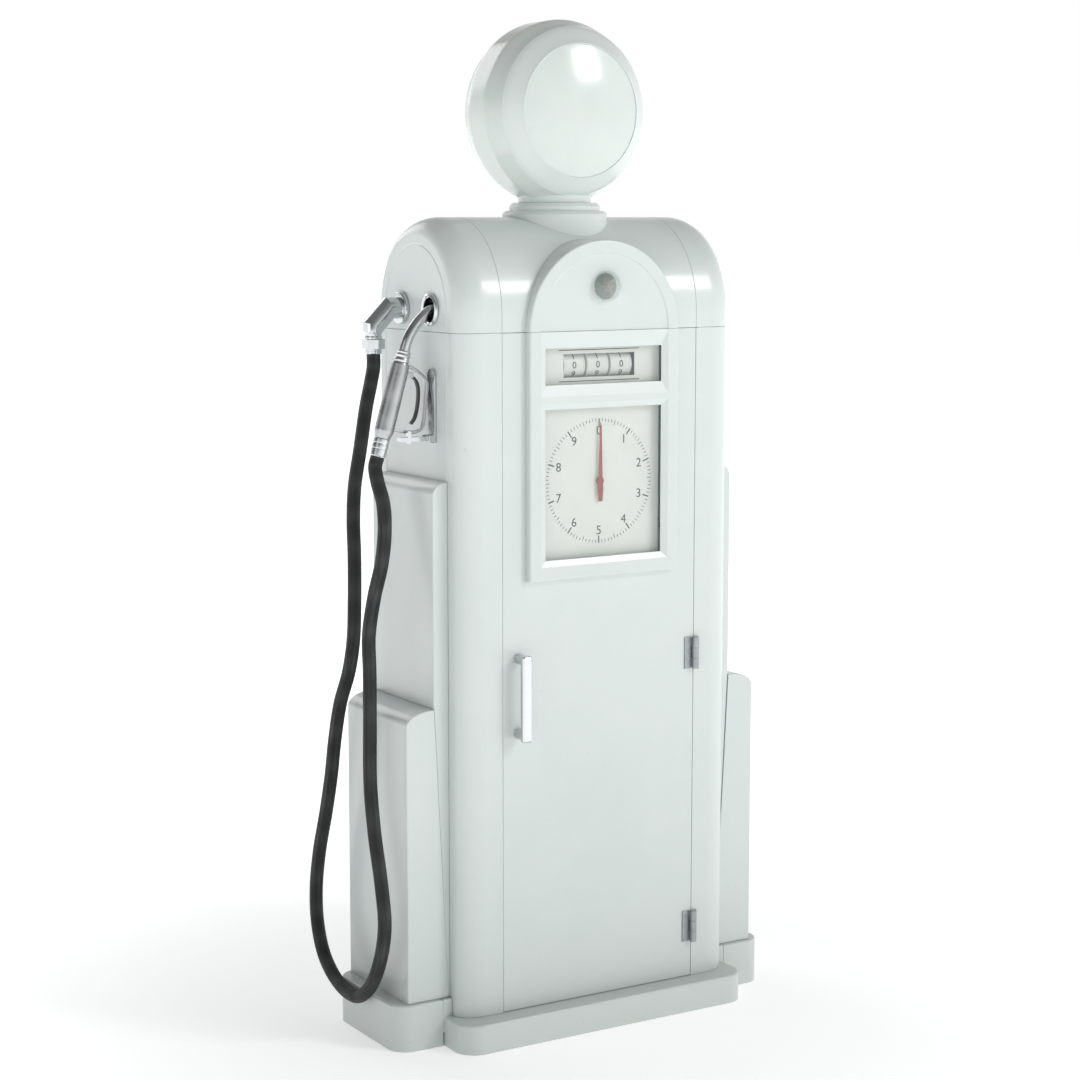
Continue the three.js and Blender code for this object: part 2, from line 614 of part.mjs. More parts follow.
function barPath(points, width, thickness) {
  const edge = (sign) => points.map(([x, z], i) => {
    const [ax, az] = points[Math.max(i - 1, 0)];
    const [bx, bz] = points[Math.min(i + 1, points.length - 1)];
    const length = Math.hypot(bx - ax, bz - az);
    const offset = (sign * thickness) / (2 * length);
    return [x - offset * (bz - az), z + offset * (bx - ax)];
  });
  return acrossY(polygon([...edge(1), ...edge(-1).reverse()]), PORT.y - width / 2, PORT.y + width / 2);
}

const TRIGGER_PIVOT = [-415, 1496];

// Body casting with its hand guard and the clevis and pin that the trigger hangs on.
function nozzleBody() {
  const body = alongNozzle([
    [0, 0], [17, 0], [19.5, 4], [20.5, 20], [21, 90], [21.5, 145], [20, 155], [17, 170], [0, 170],
  ]);
  const guard = barPath([
    [-424, 1517], [-407, 1510], [-380, 1489], [-373.5, 1476], [-377, 1440], [-384, 1385], [-391, 1376],
    [-403, 1371.5], [-430, 1373], [-462, 1381],
  ], 9, 7);
  const [px, pz] = TRIGGER_PIVOT;
  const ears = [-1, 1].map((side) => {
    const near = PORT.y + side * 5.6;
    const far = PORT.y + side * 8.6;
    return block(px - 20, px + 5, Math.min(near, far), Math.max(near, far), pz - 6, pz + 6);
  });
  const pin = rod('y', 2.4, PORT.y - 8, PORT.y + 8, px, pz, 12);
  return join(body, guard, ...ears, pin);
}
piece('nozzle_body', nozzleBody(), trim);

function nozzleTrigger() {
  const [px, pz] = TRIGGER_PIVOT;
  const lever = barPath([
    [px - 2, pz], [px + 12, pz - 10], [px + 19.5, pz - 26], [px + 19, pz - 62], [px + 11, pz - 94],
    [px + 1, pz - 107],
  ], 9.6, 6);
  const eye = rod('y', 5.5, PORT.y - 4.8, PORT.y + 4.8, px, pz, 16);
  return cut(join(lever, eye), rod('y', 2.8, PORT.y - 10, PORT.y + 10, px, pz, 12));
}
piece('nozzle_trigger', nozzleTrigger(), castIron);

function nozzleSpout() {
  const bend = tube([
    [-336, PORT.y, 1643], [-364, PORT.y, 1634], [-394, PORT.y, 1610], [-418, PORT.y, 1577],
    [-429, PORT.y, 1547], [-433.5, PORT.y, 1533],
  ], 12, 9, 10);
  const collar = alongNozzle([[0, -20], [16, -20], [17.5, -17], [17.5, -2], [16, -GAP], [0, -GAP]]);
  return join(bend, collar);
}
piece('nozzle_spout', nozzleSpout(), trim);

// Ferrule that joins the hose to the foot of the nozzle.
piece('nozzle_ferrule', alongNozzle([[0, 170.3], [18, 170.3], [18, 190], [17, 209.5], [0, 209.5]]), trim);

// Port: a flanged sleeve in the end of the hood that the spout rests in.
function nozzlePort() {
  const { y, z, radius, bore } = PORT;
  const flange = rod('x', radius, sideFace - 9, sideFace, y, z, 20);
  const sleeve = rod('x', bore + 2, sideFace - 4, -322, y, z, 20);
  return cut(join(flange, sleeve), rod('x', bore, sideFace - 20, -300, y, z, 20));
}
piece('nozzle_port', nozzlePort(), trim);

// Backing plate of the start lever, round at the top, with a slot at its foot for the lever's root.
const LEVER = { y: -78, z: 1356.5, pivot: -374 };
function leverPlate() {
  const shape = new THREE.Shape();
  shape.moveTo(-16.5, 1346);
  shape.lineTo(16.5, 1346);
  shape.lineTo(16.5, 1492);
  shape.absarc(0, 1492, 16.5, 0, Math.PI);
  shape.closePath();
  const plate = acrossY(shape, 0, 5, 10).rotateZ(-Math.PI / 2).translate(sideFace - 5, LEVER.y, 0);
  const lugs = [-1, 1].map((side) => block(LEVER.pivot - 6, sideFace - 1,
    LEVER.y + side * 14.5 - 2, LEVER.y + side * 14.5 + 2, LEVER.z - 7, LEVER.z + 7));
  const pin = rod('y', 2.4, LEVER.y - 15, LEVER.y + 15, LEVER.pivot, LEVER.z, 12);
  return join(plate, ...lugs, pin);
}
piece('lever_plate', leverPlate(), trim);

// Start lever: a flat arm under the nozzle's guard with an upturned lip in front of it.
function startLever() {
  const { y, z, pivot } = LEVER;
  const arm = block(-445, pivot, y - 12, y + 12, z - 4.5, z + 4.5);
  const eye = rod('y', 5.5, y - 12, y + 12, pivot, z, 16);
  const lip = block(-430, -422, y - 12, y - 3, z - 9, z + 18);
  return cut(join(arm, eye, lip), rod('y', 2.8, y - 20, y + 20, pivot, z, 12));
}
piece('start_lever', startLever(), trim);

// ---- inside the cabinet -------------------------------------------------------------------
// Welded angle frame that the register, meter and pump hang on.
function innerFrame() {
  const postX = 238;
  const postY = 150;
  const half = 10;
  const low = PLINTH.top + GAP;
  const bars = [];
  for (const sx of [-1, 1]) {
    for (const sy of [-1, 1]) {
      bars.push(block(sx * postX - half, sx * postX + half, sy * postY - half, sy * postY + half, low, 1560));
    }
  }
  for (const z of [640, 1130, 1550]) {
    for (const sx of [-1, 1]) {
      bars.push(block(sx * postX - half, sx * postX + half, -postY, postY, z - half, z + half));
    }
  }
  for (const sy of [-1, 1]) {
    bars.push(block(-postX, postX, sy * 80 - half, sy * 80 + half, 1130 - half, 1130 + half));
  }
  bars.push(block(-postX, postX, 92, 132, 632, 648));
  return join(...bars);
}
piece('inner_frame', innerFrame(), castIron);

const MOTOR = { x: 120, z: 205, radius: 82 };
const PUMP = { x: -120, z: 205 };
const BELT_Y = [-92, -76];
const PULLEY = { motor: 38, pump: 78 };

function motor() {
  const shell = rod('y', MOTOR.radius, -60, 110, MOTOR.x, MOTOR.z, 20);
  const bells = rod('y', MOTOR.radius - 14, -70, 120, MOTOR.x, MOTOR.z, 20);
  const foot = block(MOTOR.x - 75, MOTOR.x + 75, -45, 95, PLINTH.top + GAP, PLINTH.top + 14);
  const saddle = block(MOTOR.x - 40, MOTOR.x + 40, -40, 90, PLINTH.top + 10, MOTOR.z - 60);
  const box = block(MOTOR.x - 30, MOTOR.x + 30, -20, 60, MOTOR.z + 70, MOTOR.z + 108);
  return cut(join(shell, bells, foot, saddle, box), rod('y', 9, -75, -30, MOTOR.x, MOTOR.z, 18));
}
piece('motor', motor(), steel);

// A V-belt pulley with the shaft that runs into its machine.
function pulley(x, z, radius, shaftRadius) {
  const [y0, y1] = BELT_Y;
  const middle = (y0 + y1) / 2;
  const rim = turned([
    [0, y0], [radius + 6, y0], [radius + 6, y0 + 2], [radius, middle - 5], [radius, middle + 5],
    [radius + 6, y1 - 2], [radius + 6, y1], [0, y1],
  ], 24, 'y').translate(x, 0, z);
  return join(rim, rod('y', shaftRadius, y1 - 2, -36, x, z, 16));
}
piece('motor_pulley', pulley(MOTOR.x, MOTOR.z, PULLEY.motor, 8), castIron);
piece('pump_pulley', pulley(PUMP.x, PUMP.z, PULLEY.pump, 8), castIron);

// Belt: the loop round both pulleys, tangent to each.
function driveBelt() {
  const span = MOTOR.x - PUMP.x;
  const tilt = Math.asin((PULLEY.pump - PULLEY.motor) / span);
  const loop = (extra) => {
    const shape = new THREE.Shape();
    const small = PULLEY.motor + extra;
    const large = PULLEY.pump + extra;
    shape.absarc(MOTOR.x, MOTOR.z, small, -Math.PI / 2 + tilt, Math.PI / 2 - tilt);
    shape.absarc(PUMP.x, PUMP.z, large, Math.PI / 2 - tilt, Math.PI * 1.5 + tilt);
    shape.closePath();
    return shape;
  };
  const [y0, y1] = BELT_Y;
  const middle = (y0 + y1) / 2;
  return cut(acrossY(loop(6), middle - 4, middle + 4, 10), acrossY(loop(0.6), middle - 9, middle + 9, 10));
}
piece('drive_belt', driveBelt(), rubber);

// Pump and air separator in one casting, with its suction stub down through the base.
function pumpUnit() {
  const gearCase = rod('y', 88, -66, 30, PUMP.x, PUMP.z, 20);
  const separator = rod('z', 62, PLINTH.top + 13, 380, PUMP.x, 88, 20);
  const foot = block(PUMP.x - 85, PUMP.x + 85, -52, 124, PLINTH.top + GAP, PLINTH.top + 16);
  const web = block(PUMP.x - 50, PUMP.x + 50, -45, 60, PLINTH.top + 10, PUMP.z);
  const suction = rod('z', 24, 6, PLINTH.top + 20, PUMP.x, 60, 20);
  const riser = rod('z', 17, 370, 470, PUMP.x, 70, 18);
  return cut(join(gearCase, separator, foot, web, suction, riser),
    rod('y', 9, -80, -30, PUMP.x, PUMP.z, 18));
}
piece('pump_unit', pumpUnit(), castIron);

// Piston meter: a round case with four cylinders and a drive post up to the register.
function meter() {
  const middle = 560;
  const centre = [PUMP.x + 60, 40];
  const bodyCase = rod('z', 58, middle - 62, middle + 62, ...centre, 20);
  const cylinders = [0, 1].map((i) => (i
    ? rod('x', 38, centre[0] - 96, centre[0] + 96, centre[1], middle, 20)
    : rod('y', 38, centre[1] - 96, centre[1] + 50, centre[0], middle, 20)));
  const inlet = rod('z', 20, 470.5, middle - 20, PUMP.x, 70, 18);
  const dome = rod('z', 34, middle + 55, middle + 84, ...centre, 20);
  return join(bodyCase, ...cylinders, inlet, dome);
}
piece('meter', meter(), castIron);

// Delivery pipe from the meter up to the outlet elbow.
piece('outlet_pipe', tube([
  [-157, 40, 560], [-210, 40, 560], [-262, 48, 562], [-292, 58, 590], [-300, 61, 650], [-300, 61, 1100],
  [-300, 61, 1560], [-304, 61, 1610], [-322, 61, 1632], [-342, 61, 1636], [-361, 61, 1636],
], 15, 20, 8), steel);

export default pump;
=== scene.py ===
import math

import bmesh
import bpy
from mathutils import Matrix, Vector


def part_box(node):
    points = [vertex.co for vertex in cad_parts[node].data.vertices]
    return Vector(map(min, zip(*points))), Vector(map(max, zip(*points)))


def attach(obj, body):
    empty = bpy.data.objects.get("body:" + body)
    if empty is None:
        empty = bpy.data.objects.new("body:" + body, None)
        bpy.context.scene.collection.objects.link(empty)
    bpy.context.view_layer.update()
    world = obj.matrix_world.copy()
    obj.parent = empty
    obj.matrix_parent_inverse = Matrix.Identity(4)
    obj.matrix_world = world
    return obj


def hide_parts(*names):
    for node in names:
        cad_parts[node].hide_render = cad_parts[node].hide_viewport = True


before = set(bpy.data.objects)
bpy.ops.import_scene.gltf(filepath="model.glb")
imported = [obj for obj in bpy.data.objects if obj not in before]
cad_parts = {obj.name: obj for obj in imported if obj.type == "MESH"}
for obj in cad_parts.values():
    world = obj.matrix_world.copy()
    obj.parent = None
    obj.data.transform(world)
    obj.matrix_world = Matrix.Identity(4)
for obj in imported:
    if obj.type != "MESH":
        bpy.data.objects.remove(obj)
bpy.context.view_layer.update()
bpy.ops.object.select_all(action="DESELECT")

# ---- camera ---------------------------------------------------------------------------
# It stands well off the front left corner at about the height of the hood, looking a
# little down, with a long lens, so that upright lines stay nearly parallel.
camera = bpy.data.objects.new("camera", bpy.data.cameras.new("camera"))
bpy.context.scene.collection.objects.link(camera)
camera.location = (-2.8718, -4.6141, 1.835)
camera.rotation_euler = (math.radians(82.26), 0, math.radians(-31.55))
camera.data.lens = 79.1
camera.data.sensor_width = 36
camera.data.clip_end = 200
bpy.context.scene.camera = camera

# ---- hose -----------------------------------------------------------------------------
# Wrapped rubber dispensing hose, 31 mm across and 2.94 m long: a tube built up of rubber
# and cord plies, which leaves a diagonal cloth print on its skin. Both ends are clamped in
# metal. It hangs in one loop from the outlet's coupling and comes back up to the nozzle.
HOSE_RADIUS = 0.0155
HOSE_ROUTE = [
    (-0.434, 0.061, 1.5357), (-0.434, 0.061, 1.508), (-0.440, 0.065, 1.468), (-0.449, 0.069, 1.420),
    (-0.464, 0.072, 1.323), (-0.475, 0.079, 1.240), (-0.483, 0.071, 1.165), (-0.490, 0.054, 1.092),
    (-0.500, 0.036, 0.993), (-0.508, 0.028, 0.905), (-0.513, 0.042, 0.832), (-0.517, 0.078, 0.755),
    (-0.518, 0.106, 0.665), (-0.519, 0.124, 0.580), (-0.519, 0.154, 0.485), (-0.520, 0.187, 0.390),
    (-0.520, 0.207, 0.295), (-0.520, 0.202, 0.215), (-0.520, 0.172, 0.150), (-0.520, 0.122, 0.111),
    (-0.520, 0.062, 0.092), (-0.520, 0.000, 0.095), (-0.520, -0.060, 0.134), (-0.520, -0.108, 0.205),
    (-0.520, -0.132, 0.290), (-0.520, -0.118, 0.382), (-0.520, -0.088, 0.490), (-0.520, -0.070, 0.600),
    (-0.520, -0.071, 0.733), (-0.519, -0.070, 0.850), (-0.519, -0.068, 0.930), (-0.517, -0.092, 1.020),
    (-0.515, -0.123, 1.095), (-0.512, -0.133, 1.165), (-0.509, -0.122, 1.225), (-0.507, -0.093, 1.268),
    (-0.502, -0.0725, 1.3005), (-0.4956, -0.072, 1.322),
]


def smooth_line(points, per_span=8):
    """A smooth line through points, as a centripetal Catmull-Rom curve."""
    knots = [Vector(p) for p in points]
    knots = [2 * knots[0] - knots[1], *knots, 2 * knots[-1] - knots[-2]]
    line = []
    for a, b, c, d in zip(knots, knots[1:], knots[2:], knots[3:]):
        ab, bc, cd = math.sqrt((b - a).length), math.sqrt((c - b).length), math.sqrt((d - c).length)
        leave = ((b - a) / ab - (c - a) / (ab + bc) + (c - b) / bc) * bc
        arrive = ((c - b) / bc - (d - b) / (bc + cd) + (d - c) / cd) * bc
        for i in range(per_span):
            t = i / per_span
            line.append(
                b * (2 * t**3 - 3 * t**2 + 1) + leave * (t**3 - 2 * t**2 + t)
                + c * (3 * t**2 - 2 * t**3) + arrive * (t**3 - t**2)
            )
    return [*line, knots[-2]]


def sweep(name, line, radius, sides=32):
    """A round bar or hose that follows a line, with flat ends."""
    bpy.ops.object.select_all(action="DESELECT")
    curve = bpy.data.curves.new(name, "CURVE")
    curve.dimensions = "3D"
    curve.bevel_depth = radius
    curve.bevel_resolution = sides // 4 - 1
    curve.use_fill_caps = True
    spline = curve.splines.new("POLY")
    spline.points.add(len(line) - 1)
    for point, place in zip(spline.points, line):
        point.co = (*place, 1)
    piece = bpy.data.objects.new(name, curve)
    bpy.context.scene.collection.objects.link(piece)
    piece.select_set(True)
    bpy.context.view_layer.objects.active = piece
    bpy.ops.object.convert(target="MESH")
    piece = bpy.context.object
    bpy.ops.object.mode_set(mode="EDIT")
    bpy.ops.mesh.select_all(action="SELECT")
    bpy.ops.mesh.remove_doubles(threshold=1e-6)
    bpy.ops.mesh.normals_make_consistent(inside=False)
    bpy.ops.object.mode_set(mode="OBJECT")
    return piece


def linear(colour):
    """An sRGB colour such as '#dae0df' as the linear values that a shader takes."""
    channels = [int(colour[i:i + 2], 16) / 255 for i in (1, 3, 5)]
    return [c / 12.92 if c <= 0.04045 else ((c + 0.055) / 1.055) ** 2.4 for c in channels] + [1.0]


def new_material(name, colour, **sockets):
    """A named material: itself, its node tree, its surface shader and the place on the object."""
    material = bpy.data.materials.new(name)
    material.use_nodes = True
    surface = material.node_tree.nodes["Principled BSDF"]
    surface.inputs["Base Color"].default_value = linear(colour)
    for socket, value in sockets.items():
        surface.inputs[socket.replace("_", " ")].default_value = value
    return material, material.node_tree, surface, add_node(material.node_tree, "TexCoord").outputs["Object"]


def add_node(tree, kind, inputs=None, **settings):
    """Adds a node with its settings; an input is a value, or another node's output to link."""
    made = tree.nodes.new("ShaderNode" + kind)
    for setting, value in settings.items():
        setattr(made, setting, value)
    for socket, value in (inputs or {}).items():
        if isinstance(value, bpy.types.NodeSocket):
            tree.links.new(value, made.inputs[socket])
        else:
            made.inputs[socket].default_value = value
    return made


def vary(tree, surface, pattern, tones=None, gloss=None, band=(0.0, 1.0), bump=None):
    """Lets a pattern drive a surface: its colour between two tones, its gloss and its relief."""
    value = pattern.outputs[0]
    if tones:
        tone = add_node(tree, "Mix", {0: value, 6: linear(tones[0]), 7: linear(tones[1])}, data_type="RGBA")
        tree.links.new(tone.outputs[2], surface.inputs["Base Color"])
    if gloss:
        limits = {"From Min": band[0], "From Max": band[1], "To Min": gloss[0], "To Max": gloss[1]}
        rough = add_node(tree, "MapRange", {"Value": value, **limits})
        tree.links.new(rough.outputs[0], surface.inputs["Roughness"])
    if bump:
        relief = add_node(tree, "Bump", {"Height": value, "Distance": bump[0], "Strength": bump[1]})
        tree.links.new(relief.outputs[0], surface.inputs["Normal"])


def settle(piece, material, slot, *nodes, body="root", smooth=35):
    """Gives a piece its finish, shades what is round smoothly, and fixes it to its body."""
    bpy.ops.object.select_all(action="DESELECT")
    bpy.context.view_layer.objects.active = piece
    piece.select_set(True)
    bpy.ops.object.transform_apply()
    bpy.ops.object.shade_smooth_by_angle(angle=math.radians(smooth))
    piece.modifiers.new("flats", "WEIGHTED_NORMAL").keep_sharp = True
    bpy.ops.object.modifier_apply(modifier="flats")
    piece.data.materials.clear()
    piece.data.materials.append(material)
    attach(piece, body)
    if nodes:
        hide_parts(*nodes)
    return piece


hose_line = smooth_line(HOSE_ROUTE)
hose_length = sum((b - a).length for a, b in zip(hose_line, hose_line[1:]))

# Wrapped rubber: black and dull, with a fine diagonal weave printed by the curing cloth.
# The weave's ribs are drawn 5 mm apart, coarser than the real 1.5 mm, so that they show.
wrapped_rubber, tree, surface, place = new_material("wrapped_rubber", "#232425", Roughness=0.55)
RIB = 0.005
uv = add_node(tree, "TexCoord").outputs["UV"]
round_count = round(2 * math.pi * HOSE_RADIUS / RIB)
waves = []
for lean in (1, -1):
    turned = add_node(tree, "Mapping", {"Vector": uv, "Scale": (round_count * lean, hose_length / RIB / 2,
                                                                1)})
    parts = add_node(tree, "SeparateXYZ", {0: turned.outputs[0]})
    total = add_node(tree, "Math", {0: parts.outputs[0], 1: parts.outputs[1]}, operation="ADD")
    phase = add_node(tree, "Math", {0: total.outputs[0], 1: 2 * math.pi}, operation="MULTIPLY")
    waves.append(add_node(tree, "Math", {0: phase.outputs[0]}, operation="SINE").outputs[0])
weave = add_node(tree, "Math", {0: waves[0], 1: waves[1]}, operation="MULTIPLY")
raised = add_node(tree, "MapRange", {"Value": weave.outputs[0], "From Min": -1.0, "From Max": 1.0})
scuffs = add_node(tree, "TexNoise", {"Vector": place, "Scale": 1000 / 60, "Detail": 5.0, "Roughness": 0.6})
worn = add_node(tree, "Mix", {0: scuffs.outputs[0], 6: linear("#18191a"), 7: linear("#3a3b3c")},
                data_type="RGBA")
rubbed = add_node(tree, "MapRange", {"Value": raised.outputs[0], "From Min": 0.45, "From Max": 0.9,
                                     "To Max": 0.5})
grey = add_node(tree, "Mix", {0: rubbed.outputs[0], 6: worn.outputs[2], 7: linear("#5a5c5d")},
                data_type="RGBA")
tree.links.new(grey.outputs[2], surface.inputs["Base Color"])
vary(tree, surface, scuffs, gloss=(0.42, 0.72))
vary(tree, surface, raised, bump=(0.0014, 0.9))

hose = sweep("dispensing_hose", hose_line, HOSE_RADIUS)
settle(hose, wrapped_rubber, "black_hose", "hose")

# ---- base -----------------------------------------------------------------------------
# Grey iron casting, a low rounded pan that is open below, with a pad at each end where the
# fairings come down. It is enamelled with the cabinet and stands flat on the island.


def block(name, low, high):
    """A cube between two corners, ready to be shaped."""
    bpy.ops.object.select_all(action="DESELECT")
    low, high = Vector(low), Vector(high)
    bpy.ops.mesh.primitive_cube_add(size=1, location=(low + high) / 2)
    piece = bpy.context.object
    piece.name = name
    piece.scale = high - low
    bpy.ops.object.transform_apply()
    return piece


def rod(name, radius, start, end, sides=64):
    """A cylinder between two points, ready to be shaped."""
    bpy.ops.object.select_all(action="DESELECT")
    start, end = Vector(start), Vector(end)
    bpy.ops.mesh.primitive_cylinder_add(
        vertices=sides, radius=radius, depth=(end - start).length, location=(start + end) / 2,
        rotation=(end - start).to_track_quat("Z", "Y").to_euler())
    piece = bpy.context.object
    piece.name = name
    bpy.ops.object.transform_apply()
    return piece


def edit(piece):
    """Opens one piece for shaping, with nothing in it selected."""
    bpy.ops.object.select_all(action="DESELECT")
    bpy.context.view_layer.objects.active = piece
    piece.select_set(True)
    bpy.ops.object.mode_set(mode="EDIT")
    bpy.ops.mesh.select_all(action="DESELECT")


def close():
    bpy.ops.object.mode_set(mode="OBJECT")


def pick(kind, test):
    """Selects the FACE, EDGE or VERT parts whose middle and direction pass a test."""
    bpy.ops.mesh.select_mode(type=kind)
    bpy.ops.mesh.select_all(action="DESELECT")
    form = bmesh.from_edit_mesh(bpy.context.edit_object.data)
    if kind == "FACE":
        found = [f for f in form.faces if test(f.calc_center_median(), f.normal)]
    elif kind == "EDGE":
        found = [e for e in form.edges
                 if test((e.verts[0].co + e.verts[1].co) / 2, (e.verts[1].co - e.verts[0].co).normalized())]
    else:
        found = [v for v in form.verts if test(v.co, v.normal)]
    for part in found:
        part.select_set(True)
    form.select_flush_mode()
    bmesh.update_edit_mesh(bpy.context.edit_object.data)


def pick_all():
    bpy.ops.mesh.select_all(action="SELECT")


def bevel(offset, segments):
    """Rounds the selected edges."""
    bpy.ops.mesh.bevel(offset=offset, segments=segments, affect="EDGES")


def push(x=0.0, y=0.0, z=0.0):
    """Extrudes what is selected by this much."""
    bpy.ops.mesh.extrude_region_move(TRANSFORM_OT_translate={"value": (x, y, z)})


def modify(piece, kind, **settings):
    """Adds one modifier and applies it."""
    bpy.context.view_layer.objects.active = piece
    modifier = piece.modifiers.new(kind.lower(), kind)
    for setting, value in settings.items():
        setattr(modifier, setting, value)
    bpy.ops.object.modifier_apply(modifier=modifier.name)


def soften(piece, width, segments=3, angle=40):
    """Rounds every edge that is sharper than the angle."""
    modify(piece, "BEVEL", width=width, segments=segments, limit_method="ANGLE",
           angle_limit=math.radians(angle))


def combine(piece, *tools, operation="UNION"):
    """Joins solids to a piece, or cuts them from it, and uses them up."""
    for tool in tools:
        modify(piece, "BOOLEAN", object=tool, operation=operation, solver="EXACT")
        bpy.data.objects.remove(tool)
    return piece


def cut(piece, *tools):
    return combine(piece, *tools, operation="DIFFERENCE")


def copy_of(piece, name, turned=0.0):
    """A copy with its own mesh, turned about the pump's upright axis."""
    twin = piece.copy()
    twin.data = piece.data.copy()
    twin.name = name
    bpy.context.scene.collection.objects.link(twin)
    twin.data.transform(Matrix.Rotation(turned, 4, "Z"))
    return twin


# Baked enamel: a pale grey-green, hard and glossy, sprayed over iron and steel. Spraying leaves
# soft dimples about 6 mm apart, and years outdoors leave faint clouds of chalk in the colour.
def baked_enamel(name, dimple, depth, rough):
    material, tree, surface, place = new_material(
        name, "#d5dcda", Coat_Weight=0.35, Coat_Roughness=0.12, IOR=1.5)
    clouds = add_node(tree, "TexNoise", {"Vector": place, "Scale": 1000 / 420, "Detail": 6.0,
                                         "Roughness": 0.62})
    faded = add_node(tree, "Mix", {0: clouds.outputs[0], 6: linear("#ccd5d3"), 7: linear("#dee4e2")},
                     data_type="RGBA")
    specks = add_node(tree, "TexNoise", {"Vector": place, "Scale": 1000 / 14, "Detail": 3.0,
                                         "Roughness": 0.7})
    few = add_node(tree, "MapRange", {"Value": specks.outputs[0], "From Min": 0.66, "From Max": 0.78,
                                      "To Max": 0.35})
    marked = add_node(tree, "Mix", {0: few.outputs[0], 6: faded.outputs[2], 7: linear("#aab3b0")},
                      data_type="RGBA")
    height = add_node(tree, "SeparateXYZ", {0: place}).outputs["Z"]
    splash = add_node(tree, "MapRange", {"Value": height, "From Min": 0.0, "From Max": 0.28, "To Min": 0.45,
                                         "To Max": 0.0})
    dusted = add_node(tree, "Math", {0: splash.outputs[0], 1: clouds.outputs[0]}, operation="MULTIPLY")
    dirty = add_node(tree, "Mix", {0: dusted.outputs[0], 6: marked.outputs[2], 7: linear("#a9aca3")},
                     data_type="RGBA")
    tree.links.new(dirty.outputs[2], surface.inputs["Base Color"])
    vary(tree, surface, clouds, gloss=(rough - 0.07, rough + 0.1))
    peel = add_node(tree, "TexNoise", {"Vector": place, "Scale": 1000 / dimple, "Detail": 1.5})
    vary(tree, surface, peel, bump=(depth, 0.35))
    return material


sheet_enamel = baked_enamel("baked_enamel_on_pressed_steel", 6, 0.0004, 0.3)
cast_enamel = baked_enamel("baked_enamel_on_sand_cast_iron", 3.5, 0.0011, 0.4)

PLINTH_HALF = 0.382
PLINTH_TOP = 0.067
base_low, base_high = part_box("base_casting")
base = block("base", (-PLINTH_HALF, base_low.y, base_low.z), (PLINTH_HALF, base_high.y, PLINTH_TOP))
edit(base)
pick("EDGE", lambda at, along: abs(along.z) > 0.9)
bevel(0.050, 16)
pick("FACE", lambda at, facing: facing.z < -0.9)
bpy.ops.mesh.inset(thickness=0.009)
push(z=PLINTH_TOP - 0.009)
pick("EDGE", lambda at, along: at.z > PLINTH_TOP - 1e-5 and abs(along.z) < 0.1)
bevel(0.005, 4)
close()
shoe_low, shoe_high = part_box("shoe_right")
for side in (-1, 1):
    ends = sorted((side * 0.3613, side * base_high.x))
    pad = block("pad", (ends[0], shoe_low.y, 0.03), (ends[1], shoe_high.y, base_high.z))
    soften(pad, 0.002)
    combine(base, pad)
cut(base, rod("pipe_way", 0.045, (-0.12, 0.06, 0.03), (-0.12, 0.06, 0.08)),
    rod("conduit_way", 0.025, (0.18, 0.06, 0.03), (0.18, 0.06, 0.08)))
settle(base, cast_enamel, "enamel", "base_casting")

# ---- shoes ----------------------------------------------------------------------------
# Two iron castings that stand against the ends of the base and carry the lower fairings:
# square where they meet it, well rounded outside, and open below.
shoe = block("shoe_casting_right", shoe_low, shoe_high)
edit(shoe)
pick("EDGE", lambda at, along: abs(along.z) > 0.9 and at.x > shoe_high.x - 1e-5)
bevel(0.047, 16)
pick("FACE", lambda at, facing: facing.z < -0.9)
bpy.ops.mesh.inset(thickness=0.008)
push(z=shoe_high.z - 0.008)
pick("EDGE", lambda at, along: at.z > shoe_high.z - 1e-5 and abs(along.z) < 0.1)
bevel(0.005, 4)
close()
settle(copy_of(shoe, "shoe_casting_left", math.pi), cast_enamel, "enamel", "shoe_left")
settle(shoe, cast_enamel, "enamel", "shoe_right")

# ---- cabinet form ---------------------------------------------------------------------
# All the cabinet's pressings share one form: upright sides, a half-oval vault along the top,
# and ends that roll in to a flat face. A shallow bead is rolled round each flat end.
HALF_WIDTH = 0.361
HALF_DEPTH = 0.1975
FLOOR = 0.0673
SPRING = 1.625
RISE = 0.211
ROLL = (0.063, 0.040)
DOOR_EDGE = 0.256
SEAM = 1.588
GAP = 0.0003
SHEET = 0.003
squeeze = ROLL[1] / ROLL[0]
bpy.ops.object.select_all(action="DESELECT")
bpy.ops.mesh.primitive_cylinder_add(
    vertices=128, radius=HALF_DEPTH, depth=2 * HALF_WIDTH * squeeze, rotation=(0, math.pi / 2, 0))
form = bpy.context.object
form.name = "cabinet_form"
bpy.ops.object.transform_apply()
edit(form)
pick_all()
bpy.ops.transform.resize(value=(1, 1, RISE / HALF_DEPTH))
bpy.ops.transform.translate(value=(0, 0, SPRING))
pick_all()
bpy.ops.mesh.bisect(plane_co=(0, 0, SPRING), plane_no=(0, 0, 1), clear_inner=True, use_fill=True)
pick("FACE", lambda at, facing: facing.z < -0.99)
push(z=FLOOR - SPRING)
pick("FACE", lambda at, facing: facing.z < -0.99)
bpy.ops.mesh.delete(type="FACE")
pick("FACE", lambda at, facing: abs(facing.x) > 0.99)
bpy.ops.mesh.dissolve_faces()
pick("EDGE", lambda at, along: abs(at.x) > HALF_WIDTH * squeeze - 1e-5 and at.z > FLOOR + 1e-4)
bevel(ROLL[1], 16)
pick_all()
bpy.ops.transform.resize(value=(1 / squeeze, 1, 1))
BEAD_INSET = 0.0165
BEAD_SLOPE = 0.0022
BEAD_DEPTH = 0.0018
pick("FACE", lambda at, facing: abs(facing.x) > 0.9999 and abs(at.x) > HALF_WIDTH - 1e-4)
bpy.ops.mesh.inset(thickness=BEAD_INSET, use_boundary=False)
bpy.ops.mesh.inset(thickness=BEAD_SLOPE, depth=-BEAD_DEPTH, use_boundary=False)
